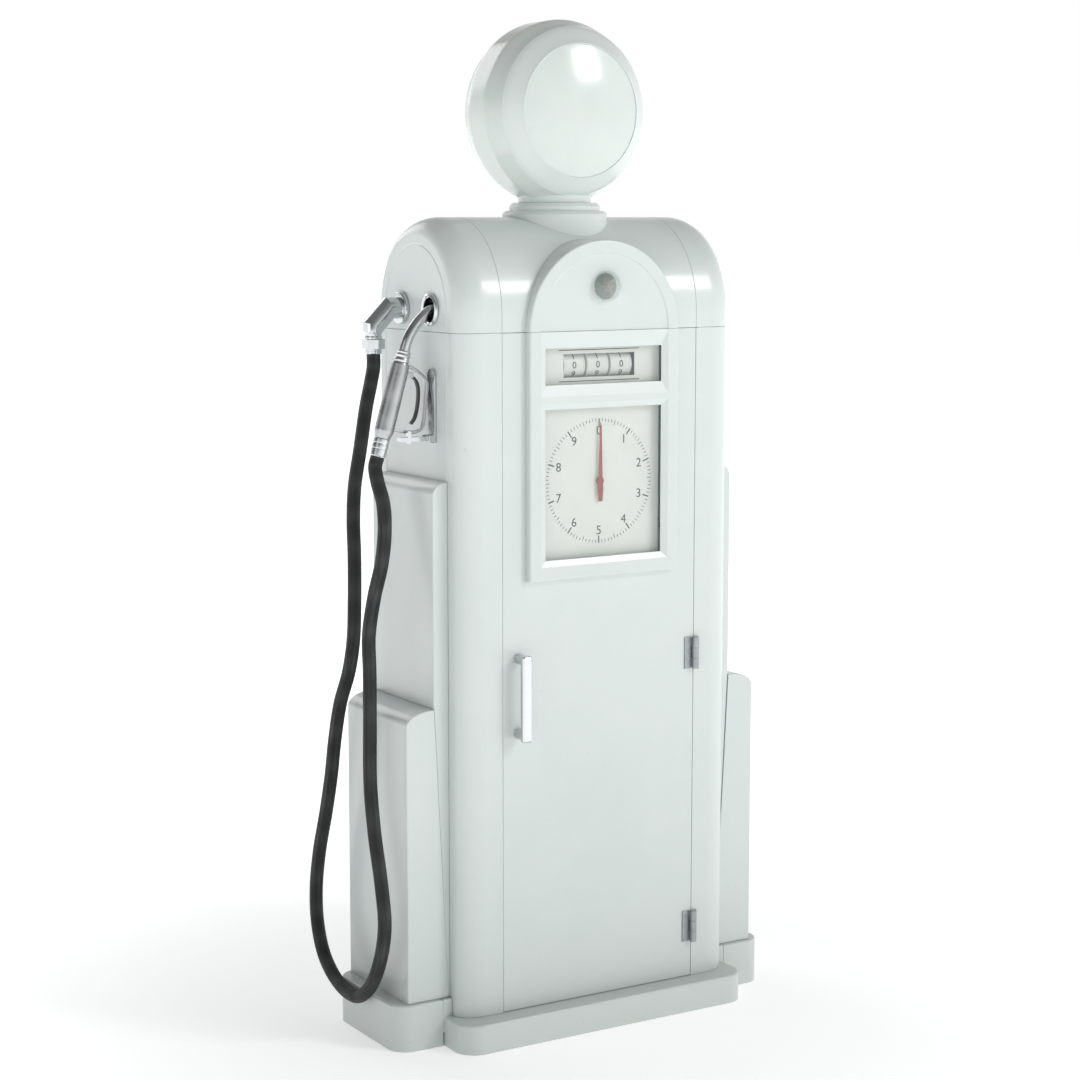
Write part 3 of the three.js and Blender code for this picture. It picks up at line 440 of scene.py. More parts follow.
bpy.ops.mesh.inset(thickness=BEAD_SLOPE, depth=BEAD_DEPTH, use_boundary=False)
close()


def pressing(name, *cuts):
    """One sheet cut from the cabinet form. Each cut is a place and the way to cut away."""
    piece = copy_of(form, name)
    edit(piece)
    for place, away in cuts:
        pick_all()
        bpy.ops.mesh.bisect(plane_co=place, plane_no=away, clear_outer=True)
    close()
    return piece


def thicken(piece, thickness=SHEET, edge=0.0009):
    """Gives a sheet its thickness inwards and a slightly rounded edge."""
    modify(piece, "SOLIDIFY", thickness=thickness, offset=-1, use_even_offset=True)
    soften(piece, edge, segments=2, angle=60)


# ---- side shells ----------------------------------------------------------------------
# Pressed steel sheet, 3 mm thick: each one wraps the end of the cabinet from the front door
# to the rear panel, with its edges turned in. They are screwed to the frame behind them.
LIP = 0.016
for side, name in ((-1, "left"), (1, "right")):
    shell = pressing(f"side_pressing_{name}", ((side * (DOOR_EDGE + GAP), 0, 0), (-side, 0, 0)),
                     ((0, 0, SEAM - GAP), (0, 0, 1)))
    edit(shell)
    for face in (-1, 1):
        pick("EDGE", lambda at, along: abs(abs(at.x) - DOOR_EDGE - GAP) < 1e-5 and at.y * face > HALF_DEPTH - 1e-4)
        push(y=-face * LIP)
    close()
    thicken(shell)
    settle(shell, sheet_enamel, "enamel", f"side_shell_{name}")

# ---- hood -----------------------------------------------------------------------------
# Three steel pressings make the vaulted hood: two deep drawn ends and a middle that is cut
# away for the dial arches. The left end is pierced for the outlet pipe and the nozzle port.
OUTLET = Vector((-HALF_WIDTH, 0.061, 1.636))
PORT = Vector((-HALF_WIDTH, -0.072, 1.636))
for side, name in ((-1, "left"), (1, "right")):
    end = pressing(f"hood_end_pressing_{name}", ((side * (DOOR_EDGE + GAP), 0, 0), (-side, 0, 0)),
                   ((0, 0, SEAM + GAP), (0, 0, -1)))
    thicken(end)
    if side < 0:
        reach = Vector((0.02, 0, 0))
        cut(end, rod("outlet_hole", 0.018, OUTLET - reach, OUTLET + reach),
            rod("port_hole", 0.0285, PORT - reach, PORT + reach))
    settle(end, sheet_enamel, "enamel", f"hood_end_{name}")

ARCH_RADIUS = 0.196
ARCH_CENTRE = 1.591
middle = pressing("hood_middle_pressing", ((DOOR_EDGE - GAP, 0, 0), (1, 0, 0)),
                  ((GAP - DOOR_EDGE, 0, 0), (-1, 0, 0)),
                  ((0, 0, SEAM + GAP), (0, 0, -1)))
thicken(middle)
for face in (-1, 1):
    cut(middle, rod("arch_opening", ARCH_RADIUS + GAP, (0, face * 0.25, ARCH_CENTRE),
                    (0, face * 0.06, ARCH_CENTRE), 160))
cut(middle, rod("lamp_wire_hole", 0.040, (0, 0, 1.78), (0, 0, 1.86)))
settle(middle, sheet_enamel, "enamel", "hood_middle")
bpy.data.objects.remove(form)

# ---- dial arches ----------------------------------------------------------------------
# A round-topped housing stands out of the hood over each dial: a drawn shell with a raised
# border round a flat field, and a hole in it for the sight glass.
FRONT = -0.2155
SIGHT = Vector((0, FRONT, 1.685))
VAULT_HALF = 0.30


def vault(name, inset):
    """A solid of the hood's own curve, drawn in by an inset, for fitting pieces to it."""
    core = rod(name, HALF_DEPTH - inset, (-VAULT_HALF, 0, SPRING), (VAULT_HALF, 0, SPRING), 128)
    edit(core)
    pick_all()
    bpy.ops.transform.resize(value=(1, 1, (RISE - inset) / (HALF_DEPTH - inset)),
                             center_override=(0, 0, SPRING))
    close()
    skirt = block("skirt", (-VAULT_HALF, inset - HALF_DEPTH, SEAM - 0.10),
                  (VAULT_HALF, HALF_DEPTH - inset, SPRING))
    return combine(core, skirt)


arch = rod("dial_arch_housing_front", ARCH_RADIUS, (0, FRONT, ARCH_CENTRE), (0, -0.105, ARCH_CENTRE), 160)
edit(arch)
pick_all()
bpy.ops.mesh.bisect(plane_co=(0, 0, SEAM + GAP), plane_no=(0, 0, -1), clear_outer=True)
pick("FACE", lambda at, facing: facing.y > 0.99)
bpy.ops.mesh.delete(type="FACE")
pick("EDGE", lambda at, along: at.y < FRONT + 1e-5 and at.z > SEAM + GAP + 1e-5)
bevel(0.0045, 3)
pick("FACE", lambda at, facing: facing.y < -0.999)
bpy.ops.mesh.inset(thickness=0.0235, use_boundary=False)
bpy.ops.mesh.inset(thickness=0.0025, depth=-0.0025, use_boundary=False)
close()
modify(arch, "SOLIDIFY", thickness=0.004, offset=-1, use_even_offset=True)
cut(arch, vault("vault_core", SHEET + GAP),
    rod("sight_hole", 0.029, SIGHT + Vector((0, -0.01, 0)), SIGHT + Vector((0, 0.02, 0)), 96))
settle(copy_of(arch, "dial_arch_housing_rear", math.pi), sheet_enamel, "enamel", "dial_arch_rear")
settle(arch, sheet_enamel, "enamel", "dial_arch_front")

# ---- door and rear panel --------------------------------------------------------------
# Flat steel pans with rounded, returned edges and one tall opening behind the dial frame.
# The front one hangs on two hinges; the rear one is screwed on from inside.
door_low, door_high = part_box("front_door")
door = block("door_pan", door_low, door_high)
edit(door)
pick("FACE", lambda at, facing: facing.y > 0.99)
bpy.ops.mesh.delete(type="FACE")
pick("EDGE", lambda at, along: at.y < door_low.y + 1e-5)
bevel(0.0025, 4)
close()
modify(door, "SOLIDIFY", thickness=SHEET, offset=-1, use_even_offset=True)
cut(door, block("door_opening", (-0.170, -0.21, 1.060), (0.170, -0.19, 1.570)))
settle(copy_of(door, "rear_pan", math.pi), sheet_enamel, "enamel", "rear_panel")
settle(door, sheet_enamel, "enamel", "front_door", body="front_door")

# ---- dial frames ----------------------------------------------------------------------
# Die cast frames with a flat border and two bevelled windows, one for the counter and one
# for the dial. The glass lies in a rebate at the back, and studs hold the frame to the door.
BORDER = 0.168
WINDOWS = {"dial": ((1.0705, 1.4308), (1.0840, 1.4175)), "counter": ((1.4455, 1.5877), (1.4707, 1.5515))}
frame_low, frame_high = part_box("dial_frame_front")
bezel = block("dial_bezel_front", frame_low, frame_high)
edit(bezel)
pick("EDGE", lambda at, along: at.y < frame_low.y + 1e-5 and at.z < frame_high.z - 0.001)
bevel(0.0045, 3)
planes = [((x, 0, 0), (1, 0, 0)) for x in (-BORDER, BORDER)]
planes += [((0, 0, z), (0, 0, 1)) for z in (*WINDOWS["dial"][0], WINDOWS["counter"][0][0])]
for place, facing_away in planes:
    pick_all()
    bpy.ops.mesh.bisect(plane_co=place, plane_no=facing_away)
BEVEL = 0.015
for (low, high), (sill, head) in WINDOWS.values():
    pick("FACE", lambda at, facing: facing.y < -0.99 and abs(at.x) < 0.01 and low < at.z < high)
    bpy.ops.mesh.inset(thickness=BEVEL, depth=-0.0065)
    drawn = (head - sill) / (high - low - 2 * BEVEL)
    bpy.ops.transform.resize(value=(1, 1, drawn), center_override=(0, 0, (low + high) / 2))
    bpy.ops.transform.translate(value=(0, 0, (sill + head - low - high) / 2))
    push(y=0.011)
close()
cut(bezel, block("glass_rebate", (-0.167, -0.2077, 1.070), (0.167, -0.19, 1.566)))
settle(copy_of(bezel, "dial_bezel_rear", math.pi), sheet_enamel, "enamel", "dial_frame_rear", smooth=12)
settle(bezel, sheet_enamel, "enamel", "dial_frame_front", body="front_door", smooth=12)

# ---- window glass ---------------------------------------------------------------------
# One pane of 4 mm float glass lies behind both windows of each frame.


def keep(node, material):
    """A plain part whose shape is already right: it only gets its finish."""
    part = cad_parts[node]
    part.material_slots[0].material = material


# Float glass: clear, with a faint green body and smears of old polish that blur its gloss.
float_glass, tree, surface, place = new_material("float_glass", "#cfdcd8", IOR=1.52, Alpha=0.1)
smears = add_node(tree, "TexNoise", {"Vector": place, "Scale": 1000 / 90, "Detail": 4.0, "Distortion": 1.2})
vary(tree, surface, smears, gloss=(0.02, 0.14))
for face in ("front", "rear"):
    keep(f"window_glass_{face}", float_glass)

# ---- dials ----------------------------------------------------------------------------
# Enamelled steel dial plates behind the glass, screen printed with a round scale of a
# hundred marks, ten plain numerals, and a rule above and below the counter's slot.
DIAL = Vector((0, -0.1885, 1.252))
SCALE_RADIUS = 0.140
NUMERAL_RADIUS = 0.112
INK_FRONT = DIAL.y - 0.0002
INK_BACK = DIAL.y - 0.00002

# Vitreous enamel: satin cream white, slightly uneven, as it is fused on in a kiln.
vitreous_enamel, tree, surface, place = new_material("vitreous_enamel", "#e9ebe5", IOR=1.5)
mottle = add_node(tree, "TexNoise", {"Vector": place, "Scale": 1000 / 35, "Detail": 4.0})
vary(tree, surface, mottle, tones=("#e2e5de", "#eff0eb"), gloss=(0.3, 0.45))
for face in ("front", "rear"):
    keep(f"dial_plate_{face}", vitreous_enamel)

# Screen ink: matt black with the slightly broken edge and colour of old print.
screen_ink, tree, surface, place = new_material("screen_ink", "#222a2b", Roughness=0.6)
grain = add_node(tree, "TexNoise", {"Vector": place, "Scale": 1000 / 4, "Detail": 3.0})
vary(tree, surface, grain, tones=("#1c2324", "#3d4647"))


def joined(name, parts):
    """Several like parts as one piece."""
    bpy.ops.object.select_all(action="DESELECT")
    for part in parts:
        part.select_set(True)
    bpy.context.view_layer.objects.active = parts[0]
    bpy.ops.object.join()
    parts[0].name = name
    return parts[0]


def numeral(text, height, at, thickness=0.00015):
    """A printed figure that faces the front, centred on a place."""
    bpy.ops.object.select_all(action="DESELECT")
    bpy.ops.object.text_add(location=(0, 0, 0))
    figure = bpy.context.object
    figure.data.body = text
    figure.data.size = height / 0.7
    figure.data.extrude = thickness
    figure.data.align_x = "CENTER"
    figure.data.align_y = "CENTER"
    bpy.ops.object.convert(target="MESH")
    figure = bpy.context.object
    bpy.ops.object.mode_set(mode="EDIT")
    bpy.ops.mesh.select_mode(type="VERT")
    pick_all()
    bpy.ops.mesh.remove_doubles(threshold=1e-6)
    bpy.ops.mesh.normals_make_consistent(inside=False)
    close()
    figure.data.transform(Matrix.Translation(at) @ Matrix.Rotation(math.pi / 2, 4, "X"))
    return figure


marks = []
for i in range(100):
    long_mark = i % 10 == 0
    half = 0.0015 if long_mark else 0.0007
    length = 0.016 if long_mark else (0.011 if i % 5 == 0 else 0.007)
    mark = block("mark", (-half, INK_FRONT, SCALE_RADIUS - length), (half, INK_BACK, SCALE_RADIUS))
    mark.data.transform(Matrix.Translation((0, 0, DIAL.z)) @ Matrix.Rotation(math.tau * i / 100, 4, "Y"))
    marks.append(mark)
for i in range(10):
    angle = math.tau * i / 10
    middle_of = (NUMERAL_RADIUS * math.sin(angle), INK_FRONT, DIAL.z + NUMERAL_RADIUS * math.cos(angle))
    marks.append(numeral(str(i), 0.020, middle_of))
for low, high in (((-0.106, 1.4755), (0.106, 1.4775)), ((-0.106, 1.5445), (0.106, 1.5465))):
    marks.append(block("rule", (low[0], INK_FRONT, low[1]), (high[0], INK_BACK, high[1])))
print_front = joined("dial_print_front", marks)
settle(copy_of(print_front, "dial_print_rear", math.pi), screen_ink, "dial_enamel")
settle(print_front, screen_ink, "dial_enamel")

# ---- dial hands -----------------------------------------------------------------------
# Stamped pointers with a counterweight, on a turned hub and a spindle from the counter.


def chain(name, points):
    """A line of edges through points, begun at one vertex and extruded step by step."""
    bpy.ops.object.select_all(action="DESELECT")
    places = [Vector(p) for p in points]
    bpy.ops.mesh.primitive_plane_add(size=0.001, location=places[0])
    piece = bpy.context.object
    piece.name = name
    bpy.ops.object.transform_apply()
    bpy.ops.object.mode_set(mode="EDIT")
    bpy.ops.mesh.select_mode(type="VERT")
    pick_all()
    bpy.ops.mesh.merge(type="CENTER")
    for here, there in zip(places, places[1:]):
        bpy.ops.mesh.extrude_vertices_move(TRANSFORM_OT_translate={"value": there - here})
    pick_all()
    return piece


def outline(name, points, along):
    """A flat outline of points, filled and carried along a direction."""
    piece = chain(name, [*points, points[0]])
    bpy.ops.mesh.remove_doubles(threshold=2e-6)
    bpy.ops.mesh.edge_face_add()
    pick_all()
    bpy.ops.mesh.extrude_region_move(TRANSFORM_OT_translate={"value": along})
    pick_all()
    bpy.ops.mesh.normals_make_consistent(inside=False)
    close()
    return piece


def turn(name, profile, centre=(0, 0, 0), axis=(0, 0, 1), steps=96):
    """A closed profile of (radius, height) points, or one that ends on the axis, turned round."""
    piece = chain(name, [(radius, 0, height) for radius, height in profile])
    bpy.ops.mesh.spin(steps=steps, angle=math.tau, center=(0, 0, 0), axis=(0, 0, 1))
    pick_all()
    bpy.ops.mesh.remove_doubles(threshold=4e-6)
    bpy.ops.mesh.dissolve_degenerate()
    pick_all()
    bpy.ops.mesh.normals_make_consistent(inside=False)
    close()
    aim = Vector(axis).to_track_quat("Z", "Y").to_matrix().to_4x4()
    piece.data.transform(Matrix.Translation(centre) @ aim)
    return piece


# Gloss paint: one brushed coat of red, hard and shiny with faint brush drag.
red_gloss_paint, tree, surface, place = new_material("red_gloss_paint", "#9a1f18", Coat_Weight=0.5,
                                                     Coat_Roughness=0.08)
drag = add_node(tree, "TexNoise", {"Vector": place, "Scale": 1000 / 9, "Detail": 3.0})
vary(tree, surface, drag, tones=("#8a1a14", "#a92a20"))

half_blade = [(0.005, -0.046), (0.007, -0.018), (0.005, 0.004), (0.0022, 0.124), (0, 0.132)]
blade = half_blade + [(-x, z) for x, z in reversed(half_blade[:-1])]
hand = outline("gallon_pointer_front", [(x, -0.1965, DIAL.z + z) for x, z in blade], (0, 0.0016, 0))
soften(hand, 0.0004, segments=2)
HUB = [(0, 0), (0.0035, 0), (0.0072, 0.0006), (0.009, 0.0024), (0.009, 0.007), (0.0035, 0.007),
       (0.0035, 0.118), (0, 0.118)]
combine(hand, turn("hub", HUB, (0, -0.198, DIAL.z), (0, 1, 0), 48))
settle(copy_of(hand, "gallon_pointer_rear", math.pi), red_gloss_paint, "hand_red", "gallon_hand_rear",
       body="hand_rear")
settle(hand, red_gloss_paint, "hand_red", "gallon_hand_front", body="hand_front")

# ---- number wheels --------------------------------------------------------------------
# Three drums with ten figures each turn on one shaft behind the upper window. They are
# moulded white, with shallow rims, and the figures are printed round them.
WHEEL_RADIUS = 0.034
WHEEL_HALF = 0.028
DRUM = [
    (0.0044, -WHEEL_HALF), (WHEEL_RADIUS - 0.001, -WHEEL_HALF), (WHEEL_RADIUS, 0.0008 - WHEEL_HALF),
    (WHEEL_RADIUS, 0.0035 - WHEEL_HALF), (WHEEL_RADIUS - 0.0009, 0.0045 - WHEEL_HALF),
]
DRUM += [(r, -h) for r, h in reversed(DRUM)]
DRUM.append(DRUM[0])
for wheel in range(3):
    node = f"number_wheel_{wheel + 1}"
    low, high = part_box(node)
    hub = (low + high) / 2
    body = f"wheel_{wheel + 1}"
    settle(turn(f"number_drum_{wheel + 1}", DRUM, hub, (1, 0, 0), 80), vitreous_enamel, "dial_enamel", node,
           body=body)
    figures = []
    for figure in range(10):
        digit = numeral(str(figure), 0.015, (0, 0, 0), 0.0002)
        edit(digit)
        for level in range(-4, 5):
            pick_all()
            bpy.ops.mesh.bisect(plane_co=(0, 0, level * 0.0018), plane_no=(0, 0, 1))
        close()
        for vertex in digit.data.vertices:
            reach = WHEEL_RADIUS - 0.0005 - vertex.co.y
            bend = vertex.co.z / WHEEL_RADIUS + math.tau * figure / 10
            vertex.co = hub + Vector((vertex.co.x, -reach * math.cos(bend), reach * math.sin(bend)))
        figures.append(digit)
    settle(joined(f"number_figures_{wheel + 1}", figures), screen_ink, "dial_enamel", body=body)

# ---- door handle ----------------------------------------------------------------------
# A chromed bar on two square posts, cast in one piece and polished, bolted from inside.

# Chrome plate: bright and nearly mirror smooth, with fine polishing haze and fingerprints.
chrome_plate, tree, surface, place = new_material("chrome_plate", "#c9cccd", Metallic=1.0)
haze = add_node(tree, "TexNoise", {"Vector": place, "Scale": 1000 / 30, "Detail": 5.0, "Roughness": 0.65})
vary(tree, surface, haze, gloss=(0.1, 0.26), band=(0.3, 0.75), tones=("#bfc3c5", "#d8dadb"))

handle_low, handle_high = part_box("door_handle")
handle = block("handle_bar", handle_low, (handle_high.x, handle_low.y + 0.015, handle_high.z))
edit(handle)
pick_all()
bevel(0.005, 5)
close()
for low, high in ((0.693, 0.713), (0.861, 0.880)):
    post = block("post", (-0.227, handle_low.y + 0.004, low), (-0.208, handle_high.y, high))
    soften(post, 0.003)
    combine(handle, post)
settle(handle, chrome_plate, "chrome", "door_handle", body="front_door")

# ---- hinges ---------------------------------------------------------------------------
# Two steel butt hinges, zinc plated. The door's leaf has the middle knuckle, the cabinet's
# leaf the outer two, and a loose pin with rounded ends goes through all three.
HINGE = Vector((0.256, -0.206, 0))
KNUCKLE = 0.008
PIN = 0.0029
LENGTH = 0.074
LEAF_BACK = -0.1978
LEAF_FRONT = LEAF_BACK - 0.0025

# Zinc plate: a grey, slightly blue metal with a fine crystalline grain and dull patches.
zinc_plate, tree, surface, place = new_material("zinc_plated_steel", "#9a9fa2", Metallic=1.0)
spangle = add_node(tree, "TexVoronoi", {"Vector": place, "Scale": 1000 / 3})
cloudy = add_node(tree, "TexNoise", {"Vector": place, "Scale": 1000 / 18, "Detail": 4.0})
vary(tree, surface, cloudy, tones=("#8b9093", "#b1b5b7"))
vary(tree, surface, spangle, gloss=(0.28, 0.5))

SCREW = [(0, 0.0006), (0.0016, 0.0006), (0.0030, 0.0002), (0.0034, -0.0006), (0.0034, -0.0014), (0, -0.0014)]
for level, node in ((0.189, "lower"), (0.840, "upper")):
    low, third = level - LENGTH / 2, LENGTH / 3
    door_leaf = block(f"hinge_door_leaf_{node}", (HINGE.x - 0.026, LEAF_FRONT, low),
                      (HINGE.x - 0.0085, LEAF_BACK, low + LENGTH))
    tongue = block("tongue", (HINGE.x - 0.010, LEAF_FRONT, low + third + GAP),
                   (HINGE.x, LEAF_BACK, low + 2 * third - GAP))
    for part in (door_leaf, tongue):
        soften(part, 0.0005, segments=2)
    middle_knuckle = rod("knuckle", KNUCKLE, HINGE + Vector((0, 0, low + third + GAP)),
                         HINGE + Vector((0, 0, low + 2 * third - GAP)))
    soften(middle_knuckle, 0.0005, segments=2)
    combine(door_leaf, tongue, middle_knuckle)
    cut(door_leaf, rod("bore", PIN + GAP, HINGE + Vector((0, 0, low - 0.01)),
                       HINGE + Vector((0, 0, low + 0.09)), 32))
    for share in (0.15, 0.5, 0.85):
        combine(door_leaf, turn("screw", SCREW, (HINGE.x - 0.0185, LEAF_FRONT, low + share * LENGTH),
                                (0, -1, 0), 24))
    settle(door_leaf, zinc_plate, "hinge_steel", f"hinge_leaf_{node}", body="front_door")
    post = block(f"hinge_cabinet_leaf_{node}", (HINGE.x + 0.0007, LEAF_FRONT, low),
                 (HINGE.x + 0.012, LEAF_BACK, low + LENGTH))
    soften(post, 0.0005, segments=2)
    cut(post, block("notch", (HINGE.x - 0.01, LEAF_BACK - 0.01, low + third),
                    (HINGE.x + 0.0085, LEAF_BACK + 0.01, low + 2 * third)))
    for start in (low, low + 2 * third):
        knuckle = rod("knuckle", KNUCKLE, HINGE + Vector((0, 0, start)),
                      HINGE + Vector((0, 0, start + third)))
        soften(knuckle, 0.0005, segments=2)
        combine(post, knuckle)
    combine(post, rod("pin", PIN, HINGE + Vector((0, 0, low + 0.001)),
                      HINGE + Vector((0, 0, low + LENGTH - 0.001)), 32))
    settle(post, zinc_plate, "hinge_steel", f"hinge_post_{node}")

# ---- sight glasses --------------------------------------------------------------------
# Blown domes of clear glass, 68 mm across, with a small flat ground on the crown.
DOME = 0.034
DOME_WALL = 0.003
CROWN = 0.031
top_angle = math.asin(CROWN / DOME)
arcs = [[(r * math.cos(top_angle * i / 14), r * math.sin(top_angle * i / 14)) for i in range(15)]
        for r in (DOME, DOME - DOME_WALL)]
dome_profile = [(0, CROWN), *reversed(arcs[0]), *arcs[1], (0, arcs[1][-1][1])]
# Blown glass: thicker than the panes, so greener, with a little more gloss at its edges.
blown_glass, tree, surface, place = new_material("blown_glass", "#cfdcd8", IOR=1.52, Alpha=0.3)
ripple = add_node(tree, "TexNoise", {"Vector": place, "Scale": 1000 / 25, "Detail": 2.0})
vary(tree, surface, ripple, gloss=(0.02, 0.1), bump=(0.0006, 0.3))
dome = turn("sight_glass_front", dome_profile, (0, FRONT - GAP, SIGHT.z), (0, -1, 0), 80)
settle(copy_of(dome, "sight_glass_rear", math.pi), blown_glass, "clear_glass", "sight_dome_rear")
settle(dome, blown_glass, "clear_glass", "sight_dome_front")

# ---- flow spinner ---------------------------------------------------------------------
# A red paddle wheel behind each sight glass, on one shaft right through the hood. It turns
# with the flow, and shows that fuel is moving.


def refined(node, name, edge, segments=2):
    """A finished copy of a plain part: its faces merged, and its edges rounded."""
    piece = bpy.data.objects.new(name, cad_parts[node].data.copy())
    bpy.context.scene.collection.objects.link(piece)
    edit(piece)
    pick_all()
    bpy.ops.mesh.remove_doubles(threshold=1e-5)
    bpy.ops.mesh.dissolve_limited(angle_limit=math.radians(1))
    pick_all()
    bpy.ops.mesh.normals_make_consistent(inside=False)
    close()
    soften(piece, edge, segments)
    edit(piece)
    pick_all()
    bpy.ops.mesh.dissolve_degenerate(threshold=1e-5)
    pick_all()
    bpy.ops.mesh.fill_holes(sides=6)
    close()
    return piece


settle(refined("flow_spinner", "flow_paddles", 0.0004), red_gloss_paint, "hand_red", "flow_spinner",
       body="flow_spinner")

# ---- globe collar ---------------------------------------------------------------------
# A stepped iron ring, enamelled with the hood. Its skirt is filed to the curve of the vault.
COLLAR = [
    (0.076, 1.745), (0.119, 1.745), (0.119, 1.843), (0.111, 1.850), (0.103, 1.850), (0.103, 1.860),
    (0.095, 1.868), (0.076, 1.868), (0.076, 1.745),
]
collar = turn("globe_collar_ring", COLLAR, steps=128)
soften(collar, 0.0018, angle=25)
cut(collar, vault("vault_outside", -GAP))
settle(collar, cast_enamel, "enamel", "globe_collar")

# ---- globe ----------------------------------------------------------------------------
# Blown opal glass, white all through: a broad band with a short neck below, and on each
# side a bowed lens that a spun metal ring holds. It is lit from inside.
GLOBE = Vector((0, 0, 2.069))
GLOBE_WALL = 0.006
half_band = [(0.204, 0.0), (0.204, 0.033), (0.200, 0.045), (0.192, 0.062), (0.186, 0.080)]
rounded = smooth_line([(r, -h) for r, h in reversed(half_band[1:])] + half_band[1:], 5)
band = [(min(p.x, half_band[0][0]), p.y) for p in rounded]
band_inside = [(r - GLOBE_WALL, h) for r, h in reversed(band)]
globe = turn("globe_glass", [*band, *band_inside, band[0]], GLOBE, (0, 1, 0), 128)
core = turn("core", [(0, -0.079), *[(r - 0.003, h * 0.97) for r, h in band], (0, 0.079)], GLOBE, (0, 1, 0),
            128)
neck = cut(rod("neck", 0.0825, (0, 0, 1.8683), (0, 0, 1.97), 128), core)
combine(globe, neck)
cut(globe, rod("neck_bore", 0.0765, (0, 0, 1.80), (0, 0, 1.93), 128))

# Opal glass: milky white, so light spreads in it, with a glossy skin and soft clouds. A low
# glow from the lamps inside lifts its shadows.
opal_glass, tree, surface, place = new_material(
    "opal_glass", "#d3dad7", IOR=1.5, Subsurface_Weight=0.15, Subsurface_Scale=0.02, Coat_Weight=0.3,
    Coat_Roughness=0.08, Emission_Strength=0.02)
surface.inputs["Emission Color"].default_value = linear("#f4f1e4")
milk = add_node(tree, "TexNoise", {"Vector": place, "Scale": 1000 / 130, "Detail": 5.0, "Roughness": 0.55})
vary(tree, surface, milk, tones=("#cbd3d0", "#dbe1de"), gloss=(0.12, 0.26))
settle(globe, opal_glass, "opal_glass", "globe_body")

ring_outside = [tuple(p) for p in smooth_line([(0.186, 0.0803), (0.1785, 0.0885), (0.155, 0.107),
                                               (0.148, 0.113)], 5)]
RING = [*ring_outside, (0.146, 0.113), (0.146, 0.104), (0.176, 0.0803), (0.186, 0.0803)]
ring = turn("globe_clamp_ring_front", RING, GLOBE, (0, -1, 0), 128)
settle(copy_of(ring, "globe_clamp_ring_rear", math.pi), sheet_enamel, "enamel", "globe_ring_rear")
settle(ring, sheet_enamel, "enamel", "globe_ring_front")

LENS_EDGE = (0.1455, 0.112)
LENS_RISE = 0.019
sphere = (LENS_EDGE[0] ** 2 + LENS_RISE**2) / (2 * LENS_RISE)
swing = math.asin(LENS_EDGE[0] / sphere)
bowed = [(sphere * math.sin(swing * i / 20),
          LENS_EDGE[1] + LENS_RISE - sphere * (1 - math.cos(swing * i / 20)))
         for i in range(21)]
lens_profile = [*bowed, *[(r, h - GLOBE_WALL) for r, h in reversed(bowed)]]
lens = turn("globe_lens_glass_front", lens_profile, GLOBE, (0, -1, 0), 128)
settle(copy_of(lens, "globe_lens_glass_rear", math.pi), opal_glass, "opal_glass", "globe_lens_rear")
settle(lens, opal_glass, "opal_glass", "globe_lens_front")

# ---- fairings -------------------------------------------------------------------------
# Sheet steel wings on each end: a shallow upper one that tapers to nothing at the base, and a
# deeper lower one in front of it that stands on the shoe. Both are rolled over at the top.


def shoulder(inner, outer, top, turn_down, steps=10):
    """The rolled top of a wing: from its flat top round to its outer face."""
    angles = [math.pi / 2 * i / steps for i in range(steps + 1)]
    return [(inner + (outer - inner) * math.sin(a),
             turn_down + (top - turn_down) * math.cos(a)) for a in angles]


upper_low, upper_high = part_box("upper_wing_right")
lower_low, lower_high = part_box("lower_wing_right")
FOLD = 0.784
upper_outline = [
    (upper_low.x, upper_low.z), (upper_low.x, upper_high.z),
    *shoulder(upper_low.x + 0.004, upper_high.x, upper_high.z, 1.236), (upper_high.x, FOLD),
    (0.365, upper_low.z),
]
lower_outline = [
    (lower_low.x, lower_low.z), (upper_high.x + GAP, lower_high.z - 0.0001),
    *shoulder(upper_high.x + 0.008, lower_high.x, lower_high.z, 0.733), (lower_high.x, lower_low.z),
]
for name, points, low, wall in (("upper", upper_outline, upper_low, 0.0022),
                                ("lower", lower_outline, lower_low, SHEET)):
    wing = outline(f"{name}_fairing_right", [(x, low.y, z) for x, z in points], (0, -2 * low.y, 0))
    edit(wing)
    pick("FACE", lambda at, facing: facing.x < -0.9)
    bpy.ops.mesh.delete(type="FACE")
    pick("EDGE", lambda at, along: abs(abs(at.y) - abs(low.y)) < 1e-5 and abs(along.y) < 0.1 and not (
        at.x < low.x + 0.001 or (name == "lower" and along.x > 0.02 and at.x < upper_high.x)))
    bevel(0.003, 4)
    close()
    modify(wing, "SOLIDIFY", thickness=wall, offset=-1, use_even_offset=True)
    settle(copy_of(wing, f"{name}_fairing_left", math.pi), sheet_enamel, "enamel", f"{name}_wing_left")
    settle(wing, sheet_enamel, "enamel", f"{name}_wing_right")

